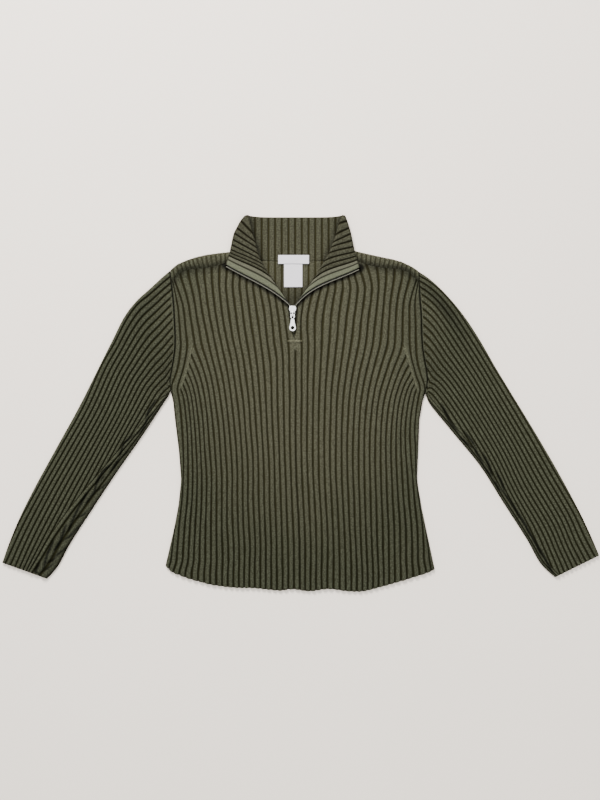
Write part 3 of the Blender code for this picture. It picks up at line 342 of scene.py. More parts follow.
def bump(value, centre, width):
    """Bell: exp(-((v - centre) / width)^2)."""
    return np.exp(-((value - centre) / width) ** 2)


def most(*values):
    """The greatest of several values at each point."""
    return np.maximum.reduce(np.broadcast_arrays(*values))


def far(start, end):
    """Distance between points whose parts lie along the last axis."""
    return np.linalg.norm(end - start, axis=-1)


def off_line(x, y, line):
    """Distance in mm from each point to a line of points."""
    distance = np.full(np.shape(x), np.inf)
    for start, end in zip(line[:-1], line[1:]):
        run = end - start
        share = ((x - start[0]) * run[0] + (y - start[1]) * run[1]) / (run @ run)
        share = np.clip(share, 0.0, 1.0)
        off = np.hypot(x - start[0] - run[0] * share, y - start[1] - run[1] * share)
        distance = np.minimum(distance, off)
    return distance


RIB_PHASES = np.array((0.0, 0.05, 0.08, 0.12, 0.21, 0.36, 0.5, 0.64, 0.79, 0.88, 0.92, 0.95))
COARSE_PHASES = np.array((0.0, 0.08, 0.25, 0.5, 0.75, 0.92))
CREST_SPREAD = 0.86
CREST_POWER = 2.6
EDGE_INSETS = np.array((0.0, 0.3, 0.9, 1.8, 3.0))


def crest(index):
    """A rib's section: sqrt(1 - t^2.6), where t is 0 on its middle and 1 from the groove on."""
    t = np.abs(2.0 * np.mod(index, 1.0) - 1.0) / CREST_SPREAD
    return np.sqrt(np.clip(1.0 - t ** CREST_POWER, 0.0, 1.0))


def rib_columns(first, last, phases=RIB_PHASES):
    """The phases of each rib from first to last, with the last valley."""
    columns = np.arange(first, last)[:, None] + phases
    return np.append(columns.ravel(), float(last))


def graded(count, length):
    """Shares from 0 to 1 in even steps, with finer steps beside both ends."""
    fine = EDGE_INSETS / length
    middle = np.linspace(fine[-1], 1.0 - fine[-1], count)[1:-1]
    return np.concatenate([fine, middle, 1.0 - fine[::-1]])


def ripple(x, y):
    """Unevenness of laid cloth: three crossed sine waves of about a tenth of a metre."""
    return (np.sin(x / 31.0 + y / 57.0 + 0.4) + np.sin(x / 71.0 - y / 43.0 + 1.9)
            + 0.6 * np.sin(x / 19.0 + y / 83.0 + 4.1)) / 2.6


def wobble(index, y):
    """Unevenness of a rib's line in mm: two slow sine waves that differ from rib to rib."""
    return 0.2 * np.sin(y / 21.0 + 1.7 * index) + 0.12 * np.sin(y / 7.3 + 2.9 * index)


def sole_ribs(section):
    """Height of an underside with ribs of that section: sole + 1.1 * (1 - section)."""
    return SOLE + INNER_RISE * (1.0 - section)


def walled(top, under, least):
    """An upper face's heights: on the lower face at the border, and least above it inside."""
    z = np.maximum(top, under + least)
    border = np.ones(z.shape, bool)
    border[1:-1, 1:-1] = False
    return np.where(border, under, z)


# ------------------------------------------------------------------ body shape

HEM_START, HEM_ROUNDS = -335.0, 3
SEAM_START, SEAM_ROUNDS = 240.0, 24
SLIT_REACH = 1.3


def rib_line(side, name, y):
    """A column of a half's rib table at height y."""
    return curve(RIBS[side]["y"], RIBS[side][name], y)


def body_edge(side, y):
    """x of a half's outer edge."""
    return np.interp(y, EDGES["y"], EDGES[side])


def snapped(share):
    """A share held to 0 to 1, where a rib that has all but closed counts as closed."""
    share = np.clip(share, 0.0, 1.0)
    return np.where(share > CLOSED_SHARE, 1.0, share)


def body_x(side, index, y):
    """x of rib line `index` of one half at height y.

    The main ribs run through the six steps by their share of the ribs there are at y; those
    past it close on the last step.  Three band ribs follow it: to `band`, to `side` and to
    the edge.  Above the yoke the first rib gives way to the slit.
    """
    steps = [rib_line(side, name, y) for name in STEPS]
    steps[0] = np.where(y > YOKE, steps[0], rib_line("left", "x0", y))
    x = blend(steps, snapped(index / rib_line(side, "count", y)))
    stops = [steps[-1], rib_line(side, "band", y), rib_line(side, "side", y), body_edge(side, y)]
    for number, (start, end) in enumerate(zip(stops[:-1], stops[1:])):
        x = x + (end - start) * np.clip(index - MAIN_RIBS - number, 0.0, 1.0)
    aside = np.where(y > YOKE, np.interp(y, SLIT["y"], SLIT[side]) - steps[0], 0.0)
    return x + aside * np.clip(1.0 - index / SLIT_REACH, 0.0, 1.0)


def is_closed(side, index, y):
    """Whether a main rib has ended on the fashioning line below height y."""
    return (index > rib_line(side, "count", y)) & (index <= MAIN_RIBS)


def hem_of(side, index):
    """y of the bottom edge on each rib line, found in three rounds."""
    xs, ys = np.array(HEM).T
    y = np.full_like(index, HEM_START)
    for _ in range(HEM_ROUNDS):
        y = curve(xs, ys, body_x(side, index, y))
    return y


def front_top(side, index):
    """y of the front's upper edge on each rib line, halfway nearer in each round."""
    y = np.full_like(index, SEAM_START)
    for _ in range(SEAM_ROUNDS):
        y = 0.5 * y + 0.5 * along(SEAMS[side], body_x(side, index, y))
    return y


def lapel_x(side, edge, y):
    """x of a lapel's roll or outer edge at height y."""
    rows = LAPELS[side]
    return np.interp(y, rows[edge + "_y"][::-1], rows[edge + "_x"][::-1])


def in_neck(x):
    """Whether x lies between the shoulders, where the back meets the collar."""
    return (x > NECK_ENDS["left"]) & (x < NECK_ENDS["right"])


# ------------------------------------------------------------------ mesh building

WELD = 0.002


def merged_points(points):
    """The first point at each place, and for every point the number of its place."""
    keys = np.round(points / WELD).astype(np.int64)
    _, first, place = np.unique(keys, axis=0, return_index=True, return_inverse=True)
    return first, place.ravel()


def opened(quads, place):
    """Quads with four places, and the triangles of those with two neighbours in one place."""
    same = place[quads] == place[np.roll(quads, -1, axis=1)]
    pinched = (place[quads[:, :2]] == place[quads[:, 2:]]).any(axis=1)
    whole = ~same.any(axis=1) & ~pinched
    folded = (same.sum(axis=1) == 1) & ~pinched
    return quads[whole], quads[folded][~same[folded]].reshape(-1, 3)


def kept_faces(faces, place):
    """Faces whose corners differ.  Two on the same points lie back to back, so both go."""
    welded = place[faces]
    _, which, times = np.unique(np.sort(welded, axis=1), axis=0, return_inverse=True,
                                return_counts=True)
    differ = (welded != np.roll(welded, -1, axis=1)).all(axis=1)
    return faces[differ & (times[which.ravel()] == 1)]


def volume_of(points, polygons):
    """Signed volume under the faces, as the sum of a . (b x c) / 6 over their triangles."""
    total = 0.0
    for faces in polygons:
        for k in range(1, faces.shape[1] - 1):
            a, b, c = points[faces[:, 0]], points[faces[:, k]], points[faces[:, k + 1]]
            total += np.sum(a * np.cross(b, c)) / 6.0
    return total


def new_object(name, data, body):
    """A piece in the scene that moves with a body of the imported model."""
    obj = bpy.data.objects.new(name, data)
    bpy.context.scene.collection.objects.link(obj)
    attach(obj, body)
    return obj


class Surface:
    """Grids of points gathered into one mesh: points in mm, with rib number and length as UV."""

    def __init__(self):
        self.points, self.uvs, self.tones, self.plains = [], [], [], []
        self.triangles = [np.empty((0, 3), int)]
        self.quads = [np.empty((0, 4), int)]
        self.count = 0

    def add_points(self, points, rib, length, tone=0.0, plain=0.0):
        """Keep a grid's points, and give back their numbers in the grid's shape."""
        shape = points.shape[:-1]
        rib, length, tone, plain = (np.broadcast_to(value, shape).ravel()
                                    for value in (rib, length, tone, plain))
        self.points.append(points.reshape(-1, 3))
        self.uvs.append(np.column_stack([rib, length]))
        self.tones.append(tone)
        self.plains.append(plain)
        numbers = self.count + np.arange(rib.size).reshape(shape)
        self.count += rib.size
        return numbers

    def add_quads(self, numbers, skip=()):
        """Quads between the rows and columns of a grid, leaving out the columns in skip."""
        keep = np.setdiff1d(np.arange(numbers.shape[1] - 1), skip)
        a, b = numbers[:-1][:, keep], numbers[:-1][:, keep + 1]
        c, d = numbers[1:][:, keep + 1], numbers[1:][:, keep]
        self.quads.append(np.stack([a, b, c, d], axis=-1).reshape(-1, 4))

    def add_fans(self, ends, columns, skip, turn):
        """Triangles that fill the lower face's border between its columns."""
        for first, last in zip(columns[:-1], columns[1:]):
            if first not in skip:
                run = ends[first:last + 1][::turn]
                fan = np.stack([np.full(len(run) - 2, run[0]), run[2:], run[1:-1]], axis=-1)
                self.triangles.append(fan)

    def grid(self, points, rib, length, tone=0.0, plain=0.0, skip=()):
        """An open grid of points, rows by columns."""
        self.add_quads(self.add_points(points, rib, length, tone, plain), skip)
        return self

    def shell(self, top, under, rib, length, stride=1, tone=0.0, plain=0.0, skip=()):
        """A closed wall: the top's x, y and z, and a lower face at heights under.

        The top's border lies on the lower face, so both share it.  stride is the number
        of fine columns to one of the lower face, whose last one may be narrower.
        """
        top = np.stack(top, axis=-1)
        self.grid(top, rib, length, tone, plain, skip)
        lower = top.copy()
        lower[..., 2] = under
        rib, length = (np.broadcast_to(value, top.shape[:-1]) for value in (rib, length))
        skip = np.array(skip, int)
        last = top.shape[1] - 1
        columns = np.unique(np.concatenate([np.arange(0, last, stride), [last], skip, skip + 1]))
        numbers = self.add_points(lower[:, columns], rib[:, columns], length[:, columns])
        self.add_quads(numbers[:, ::-1], len(columns) - 2 - np.searchsorted(columns, skip))
        for row, turn in ((0, 1), (-1, -1)):
            ends = self.add_points(lower[row], rib[row], length[row])
            self.add_fans(ends, columns, skip, turn)
        return self

    def build(self, name, material):
        """Weld points that coincide, drop faces that closed to nothing, and make the object."""
        points = np.concatenate(self.points)
        first, place = merged_points(points)
        quads, folded = opened(np.concatenate(self.quads), place)
        triangles = np.concatenate([*self.triangles, folded])
        corners = [kept_faces(faces, place) for faces in (triangles, quads)]
        used = np.unique(np.concatenate([place[faces].ravel() for faces in corners]))
        renumber = np.full(len(first), -1)
        renumber[used] = np.arange(len(used))
        positions = points[first[used]] * MM
        if volume_of(positions, [renumber[place[faces]] for faces in corners]) < 0.0:
            corners = [faces[:, ::-1] for faces in corners]
        polygons = sum((renumber[place[faces]].tolist() for faces in corners), [])
        mesh = bpy.data.meshes.new(name)
        mesh.from_pydata(positions, [], polygons)
        order = np.concatenate([faces.ravel() for faces in corners])
        uvs = np.concatenate(self.uvs)[order]
        mesh.uv_layers.new(name="UVMap").data.foreach_set("uv", uvs.ravel())
        for label, parts in (("tone", self.tones), ("plain", self.plains)):
            values = np.concatenate(parts)[first[used]].astype(np.float32)
            mesh.attributes.new(label, "FLOAT", "POINT").data.foreach_set("value", values)
        mesh.shade_smooth()
        mesh.materials.append(material)
        return new_object(name, mesh, GARMENT)


# ------------------------------------------------------------------ front

TACK_BAR, TACK_Y, TACK_HALF, TACK_RIBS = 115.3, 112.0, 15.0, 0.62
TACK_ROWS = np.array((-4.9, -3.6, -2.7, -1.9, -1.2, -0.5, 0.1, 0.7, 1.4, 2.0, 2.9, 3.7))
HEM_MIDDLE = -352.0
HEM_SCALLOP = 1.6
LOW_ROWS, HIGH_ROWS = (108, 471.0), (36, 130.0)
FRONT_STRIDE = 12
CHAIN_SHARE = 0.4
AT_EDGE, LEAST_WALL = 0.01, 0.3
FRONT_RIPPLE = 0.35
SIDE_ROUND = 8.0
HEM_ROLL, SEAM_DIP, ARMHOLE_DIP = (0.35, 3.5), (0.5, 6.0), (0.55, 5.0)
# Painted shade under the collar's seam, along the armhole, down the middle and in the tack's gaps;
# painted shadow beside the zip
SEAM_SHADE, ARMHOLE_SHADE = (0.65, 16.0), (0.8, 3.5)
CENTRE_SHADE, TACK_GAP_SHADE, ZIP_SHADOW_TONE = 0.2, 0.3, 1.15
ZIP_SHADOW = (5.0, 12.5)
BAR_LIGHT, CHAIN_HIGHLIGHT = 1.3, 0.35


def zip_line(side):
    """Points (x, y) on the lapel's zip edge, from its outer end to the slider."""
    share = np.linspace(1.0, 0.0, 40)
    return lapel_line(side, np.full_like(share, float(LAPEL_ZIP)), share)[0]


def front_columns():
    """Rib numbers of a half's columns, with a last one just inside its edge."""
    last = SIDE_RIBS - 1
    return np.concatenate([rib_columns(0, last), last + RIB_PHASES[1:], [SIDE_RIBS - 0.02, SIDE_RIBS]])


def front_rows():
    """Shares of the way from hem to yoke, closer together at the tack, and from yoke to seam."""
    low, high = graded(*LOW_ROWS), graded(*HIGH_ROWS)
    tack = (TACK_BAR + TACK_ROWS - HEM_MIDDLE) / (YOKE - HEM_MIDDLE)
    low = np.sort(np.concatenate([low[low < 0.99], tack, [1.0]]))
    return low[:, None], high[high > 0.02][:, None]


class FrontHalf:
    """Half of the front: rib lines across, and rows from the scalloped hem to the seam."""

    def __init__(self, side):
        self.side = side
        index = front_columns()
        low, high = front_rows()
        self.hem = hem_of(side, index) + HEM_SCALLOP * (1.0 - crest(index))
        self.top = front_top(side, index)
        self.y = np.concatenate([mixed(self.hem, YOKE, low), mixed(YOKE, self.top, high)])
        self.rib = np.broadcast_to(index, self.y.shape)
        x = body_x(side, self.rib, self.y)
        self.edge = np.abs(x - body_edge(side, self.y))
        line = np.floor(self.rib) + 0.5 * ease(np.mod(self.rib, 1.0), 0.8, 1.0)
        self.x = x + wobble(line, self.y) * self.freedom(x)
        self.find_marks()

    def freedom(self, x):
        """How far a rib may wander: not at the edge, at the slit or beside the side band."""
        to_band = np.abs(x - rib_line(self.side, "x5", self.y))
        free = ease(self.edge, 0.0, 12.0)
        free = free * np.where(self.y > YOKE - 5.0, np.clip(self.rib, 0.0, 1.0), 1.0)
        return free * np.where(self.y > FASHION_START - 15.0, ease(to_band, 0.0, 9.0), 1.0)

    def find_marks(self):
        """Chain along the fashioning line, plain patch of the tack and its bar, each 0 to 1."""
        rib, y = self.rib, self.y
        self.closed = is_closed(self.side, rib, y)
        fashioned = ease(y, FASHION_START - 3.0, FASHION_START + 3.0)
        fashioned = fashioned * fade(y, FASHION_END - 6.0, FASHION_END)
        beside = (rib > MAIN_RIBS) & (rib < MAIN_RIBS + CHAIN_SHARE)
        self.chain = fashioned * (self.closed | beside)
        self.tack = ease(TACK_HALF - np.abs(y - TACK_Y), -4.0, 4.0)
        self.tack = self.tack * ease(TACK_RIBS - rib, -0.1, 0.1)
        self.bar = (rib < 1.08) * bump(y, TACK_BAR, 1.4)

    def height(self, rise, groove):
        """z = groove + rise * crest(rib), with the marks, rounded down to the border."""
        rib, y = self.rib, self.y
        strength = 1.0 + 0.1 * np.sin(y / 23.0 + 2.3 * np.floor(rib))
        relief = np.maximum(rise * crest(rib) * ~self.closed * strength, 0.9 * rise * self.chain)
        relief = mixed(relief, 0.75 * rise, self.tack) + self.bar
        z = groove + relief + FRONT_RIPPLE * ripple(self.x, y)
        tall = np.where(y < ARMPIT, rounded(self.edge, SIDE_ROUND), dipped(self.edge, *ARMHOLE_DIP))
        tall = tall * rolled(y - self.hem, *HEM_ROLL) * dipped(self.top - y, *SEAM_DIP)
        z = np.maximum(mixed(FRONT_UNDER, z, tall), FRONT_UNDER + LEAST_WALL)
        slit = (rib == 0.0) & (y > YOKE - 0.1)
        border = (y == y[0]) | (y == y[-1]) | (self.edge < AT_EDGE) | slit
        return np.where(border, FRONT_UNDER, z)

    def tone(self):
        """Painted shade under the collar, along the armhole and the middle, round the tack and beside
        the zip.
        """
        rib, y = self.rib, self.y
        seam = shade_near(self.top - y, *SEAM_SHADE)
        armhole = shade_near(self.edge, *ARMHOLE_SHADE) * (y > ARMPIT)
        centre = CENTRE_SHADE * fade(rib, 0.1, 0.3) * (y < YOKE - 20.0)
        gaps = TACK_GAP_SHADE * (bump(y, TACK_BAR + 3.4, 1.5) + bump(y, TACK_BAR - 3.2, 1.3))
        beside = ZIP_SHADOW_TONE * fade(off_line(self.x, y, zip_line(self.side)), *ZIP_SHADOW)
        dark = most(seam, armhole, centre, gaps * (rib < 1.0), beside)
        # Painted highlight along the chain; the tack's bar is made paler
        return dark - BAR_LIGHT * self.bar - CHAIN_HIGHLIGHT * self.chain

    def layers(self, rise, groove):
        """x, y, z, rib number, tone and plainness at every point."""
        return (self.x, self.y, self.height(rise, groove), SIGN[self.side] * self.rib, self.tone(),
                most(self.tack, self.chain, self.bar))


def whole_rows(left, right, overlap):
    """Both halves' arrays side by side, the left ones turned round."""
    return [np.concatenate([a[:, ::-1], b[:, overlap:]], axis=1) for a, b in zip(left, right)]


def front_surface(rise, groove):
    """The front: both halves, which part along the zip above the yoke."""
    left, right = (FrontHalf(side).layers(rise, groove) for side in SIDES)
    x, y, z, rib, tone, plain = whole_rows(left, right, 0)
    middle = left[0].shape[1] - 1
    return Surface().shell((x, y, z), FRONT_UNDER, rib, y, FRONT_STRIDE, tone, plain, (middle,))


# ------------------------------------------------------------------ back

NECK_SHARP = 8.0
NECK_CENTRE, NECK_PITCH, NECK_RIBS, YOKE_RIBS = -15.3, 12.57, 7, 15
BACK_INSET = 0.6
BACK_GROOVE = 1.6
BACK_UNDER_FOLD = 4.0
BACK_START, BACK_ROUNDS = 255.0, 4
BACK_ROWS, STRIP_ROWS = (90, 620.0), (16, 30.0)
STRIP_Y = 240.0
STRIP_DIP, STRIP_SEAM_SHADE = (0.35, 6.0), (0.6, 11.0)
BACK_ROUND = 3.5
NECK_SHADOW_TONE, NECK_SHADOW = 0.6, (185.0, 240.0)
STRIP_STRIDE = 5
STRIP_LEAN = 0.5
STRIP_PLAIN = 0.45
STRIP_GROOVE = 4.3
STRIP_ROUND = 7.0


def back_x(side, index, y):
    """x of the back's rib lines: the front's below, straight and even inside the neck."""
    sign = SIGN[side]
    inner = NECK_CENTRE + sign * NECK_PITCH * np.minimum(index, NECK_RIBS)
    share = np.clip((index - NECK_RIBS) / (YOKE_RIBS - NECK_RIBS), 0.0, 1.0)
    stand = inner + (rib_line(side, "x5", y) - NECK_CENTRE - sign * NECK_PITCH * NECK_RIBS) * share
    stand = np.where(index > MAIN_RIBS, body_x(side, index, y), stand)
    front = body_x(side, index, np.minimum(y, YOKE))
    return mixed(front, stand, ease(y, YOKE - 50.0, YOKE + 30.0))


def back_top(side, index):
    """y of the back's upper edge on each rib line: the neck, or just short of a shoulder's fold."""
    top = np.full_like(index, BACK_START)
    for _ in range(BACK_ROUNDS):
        x = back_x(side, index, top)
        fold = np.where(x < 0.0, along(LEFT_SHOULDER, x), along(RIGHT_SHOULDER, x))
        top = np.where(in_neck(x), along(NECKLINE, x), fold - BACK_UNDER_FOLD)
    return top


def back_half(side):
    """Half of the back: x, y, upper and lower height, rib number and tone, a painted shadow in the
    neck, at every point.
    """
    index = rib_columns(0, SIDE_RIBS, COARSE_PHASES)
    hem, top = hem_of(side, index) + BACK_INSET, back_top(side, index)
    y = mixed(hem, top, graded(*BACK_ROWS)[:, None])
    rib = np.broadcast_to(index, y.shape)
    x = back_x(side, rib, y)
    is_open = ~is_closed(side, rib, y)
    to_top = (top - y) * np.where(in_neck(x), NECK_SHARP, 1.0)
    edge = np.minimum(np.abs(x - body_edge(side, y)), np.minimum(y - hem, to_top))
    over = mixed(BACK_GROOVE, BACK_TOP, crest(rib + 0.5) * is_open)
    under = sole_ribs(crest(rib) * is_open)
    middle, full = (SOLE + BACK_TOP) / 2.0, rounded(edge, BACK_ROUND)
    # Painted shadow low in the neck's V, under the lapels
    tone = NECK_SHADOW_TONE * fade(y, *NECK_SHADOW) * (y > YOKE)
    return x, y, mixed(middle, over, full), mixed(middle, under, full), SIGN[side] * rib, tone


def back_surface():
    """The back: both faces ribbed, each crest of one over a groove of the other.

    top = 1.6 + 1.1 * crest(rib + 1/2) and under = sole + 1.1 * (1 - crest(rib)), both drawn
    to mid-wall round the border.  Its upper edge follows the neck and both shoulders.
    """
    x, y, over, under, rib, tone = whole_rows(*(back_half(side) for side in SIDES), 1)
    return Surface().shell((x, y, over), under, rib + 0.5, y, 1, tone)


def shoulder_surface(side, rise):
    """A strip of the back that comes over one shoulder to the shoulder seam.

    Across it z = 4.3 + rise * crest(rib), dipping to the seam and rounding down to the
    floor on a radius of 7 mm at the fold.
    """
    index = rib_columns(0, STRIP_RIBS)
    part = index / STRIP_RIBS
    outer = body_edge(side, STRIP_Y)
    x = mixed(NECK_ENDS[side], outer, part)
    seam = along(SEAMS[side], x) + 0.3
    fold = np.maximum(along(SHOULDERS[side], x) + 0.4 * crest(index), seam + 1.5)
    y = mixed(seam, fold, graded(*STRIP_ROWS)[:, None])
    to_fold, to_seam = fold - y, y - seam
    x = x + SIGN[side] * STRIP_LEAN * 4.0 * part ** 2 * (1.0 - part) * to_seam
    x = x + (body_edge(side, y) - outer) * part
    rib = np.broadcast_to(index, y.shape)
    floor = SOLE + 0.2
    plateau = STRIP_GROOVE + rise * crest(rib) + bump(to_fold, 9.0, STRIP_ROUND)
    z = mixed(floor, plateau, rounded(to_fold, STRIP_ROUND))
    dip = np.where(z > FRONT_UNDER, dipped(to_seam, *STRIP_DIP), 1.0)
    under = mixed(floor, FRONT_UNDER, ease(to_fold, 0.0, 4.0))
    z = walled(mixed(FRONT_UNDER, z, dip), under, 0.2)
    # Tone: painted shade in the dip by the shoulder seam.  Plainness: less painted groove shade and
    # painted light on the lit strip
    return Surface().shell((x, y, z), under, rib, y, STRIP_STRIDE,
                           shade_near(to_seam, *STRIP_SEAM_SHADE), STRIP_PLAIN)


# ------------------------------------------------------------------ sleeves

SLEEVE_LENGTH = 590.0
STATIONS = np.concatenate([(0.0, 0.0012, 0.003, 0.0052, 0.0068, 0.0085),
                           np.linspace(0.012, 0.99, 230), (0.994, 0.997, 0.999, 1.0)])
LINING_STATIONS = (1.0, 0.997, 0.985, 0.9, 0.6, 0.3, 0.03, 0.0)
LINING_INSET = 5.0
LINING_GAP = 0.35
SLEEVE_RIBS = 17
UNDER_COUNT = 30.0  # the underside's ribs are numbered back from here
SLEEVE_ROUND, SOLE_ROUND = 8.0, 5.0
CUFF_ROLL, ARMHOLE_ROLL, LEAST_ROLL = (0.45, 3.5), (0.45, 2.5), (0.6, 3.0)
SLEEVE_MIDDLE = 3.1
SLEEVE_GROOVE = 4.7
SLEEVE_SEAM_REACH = 0.3
SEAM_CHAIN = 6.0
SEAM_GAP = 0.1
SLEEVE_OUT = {"left": 1.0, "right": 2.0}
SLEEVE_HOLLOW_SHADE = {"left": 0.15, "right": 0.6}
HOLLOW_ACROSS, HOLLOW_ALONG = (24.0, 15.0), (0.14, 0.16)
SLEEVE_SEAM_SHADE, ROLL_SHADE = 0.9, (0.6, 9.0)
SLEEVE_LIGHT = {"left": 0.0, "right": 0.16}
RIDGE_HIGHLIGHT = {"left": 0.14, "right": 0.0}
CUFF_SCALLOP = 2.0
CREASE_WIDTH, CREASE_DEPTH, CREASE_ENDS = 2.1, 1.25, (0.45, 12.0)
LEFT_CREASES = (  # depth of each fold beside the inner edge, and its points
    (2.2, (-269.6, 4.7), (-282.8, -14.0), (-286.9, -24.0), (-286.9, -30.0)),
    (1.6, (-276.9, -22.7), (-286.9, -30.0), (-289.9, -41.4), (-297.2, -53.0), (-305.6, -60.2)),
    (2.4, (-311.0, -60.0), (-330.4, -77.4), (-336.0, -93.4), (-337.5, -103.5)),
    (2.6, (-337.5, -103.5), (-350.6, -123.8), (-356.3, -130.9)),
    (1.6, (-314.4, -84.8), (-326.3, -96.2), (-337.5, -103.5)),
    (2.6, (-354.8, -116.4), (-369.4, -129.4), (-377.8, -143.8), (-382.5, -155.4),
     (-385.1, -168.4), (-393.8, -178.5)),
    (2.0, (-365.6, -134.0), (-375.0, -149.0)),
    (1.6, (-354.8, -145.3), (-369.4, -158.4), (-385.1, -168.4)),
    (2.8, (-399.4, -169.7), (-418.1, -202.9), (-431.3, -233.4), (-433.9, -241.7)),
    (2.4, (-392.4, -177.2), (-401.3, -190.3)),
    (3.2, (-439.3, -231.0), (-448.7, -259.1), (-460.7, -277.9)),
    (2.8, (-462.0, -259.1), (-474.4, -285.9), (-480.8, -311.4)),
    (3.0, (-488.8, -302.0), (-496.6, -317.7), (-489.0, -321.0)),
    (1.8, (-420.6, -218.4), (-404.4, -209.6), (-396.4, -201.6)),
    (2.0, (-444.6, -259.1), (-431.3, -251.1), (-420.6, -239.1), (-409.9, -225.8)),
    (2.0, (-460.7, -289.7), (-439.3, -273.9), (-431.3, -265.3)),
    (1.8, (-476.8, -302.0), (-465.0, -296.6), (-452.6, -285.9)),
    (1.6, (-484.9, -317.8), (-468.8, -308.4), (-458.1, -296.6)),
)
RIGHT_CREASES = (
    (2.4, (265.7, -4.7), (273.4, -20.3), (279.8, -34.3), (289.1, -46.9), (296.8, -56.3)),
    (2.2, (307.5, -54.8), (320.3, -70.3), (329.6, -84.4)),
    (3.0, (329.6, -84.4), (329.6, -92.3), (337.5, -104.6), (343.7, -117.2)),
    (1.8, (296.3, -62.8), (312.6, -76.5), (328.1, -89.1)),
    (2.4, (343.7, -96.6), (353.1, -115.3), (359.4, -132.8), (360.0, -140.6)),
    (2.0, (345.0, -119.1), (353.1, -131.3), (360.0, -140.6)),
    (2.4, (367.1, -131.3), (375.0, -143.4), (381.2, -159.4), (383.0, -170.0)),
    (2.0, (362.4, -143.4), (373.1, -162.2), (382.5, -169.7)),
    (2.6, (383.0, -170.0), (396.0, -188.0), (406.0, -204.0), (410.0, -216.0)),
    (2.4, (408.0, -206.0), (424.0, -232.0), (430.0, -248.0)),
    (2.6, (426.0, -236.0), (444.0, -268.0), (452.0, -286.0)),
    (2.4, (448.0, -272.0), (462.0, -298.0), (474.0, -320.0)),
)
CREASES = {"left": LEFT_CREASES, "right": RIGHT_CREASES}


def creased(x, y, rows):
    """Depth of the folds at each point: a bell across each line, less deep at its ends."""
    total = np.zeros_like(x)
    for depth, *points in rows:
        line = np.array(points)
        ends = np.minimum(np.hypot(x - line[0, 0], y - line[0, 1]),
                          np.hypot(x - line[-1, 0], y - line[-1, 1]))
        strength = CREASE_DEPTH * depth * dipped(ends, *CREASE_ENDS)
        total = np.maximum(total, strength * bump(off_line(x, y, line), 0.0, CREASE_WIDTH))
    return total


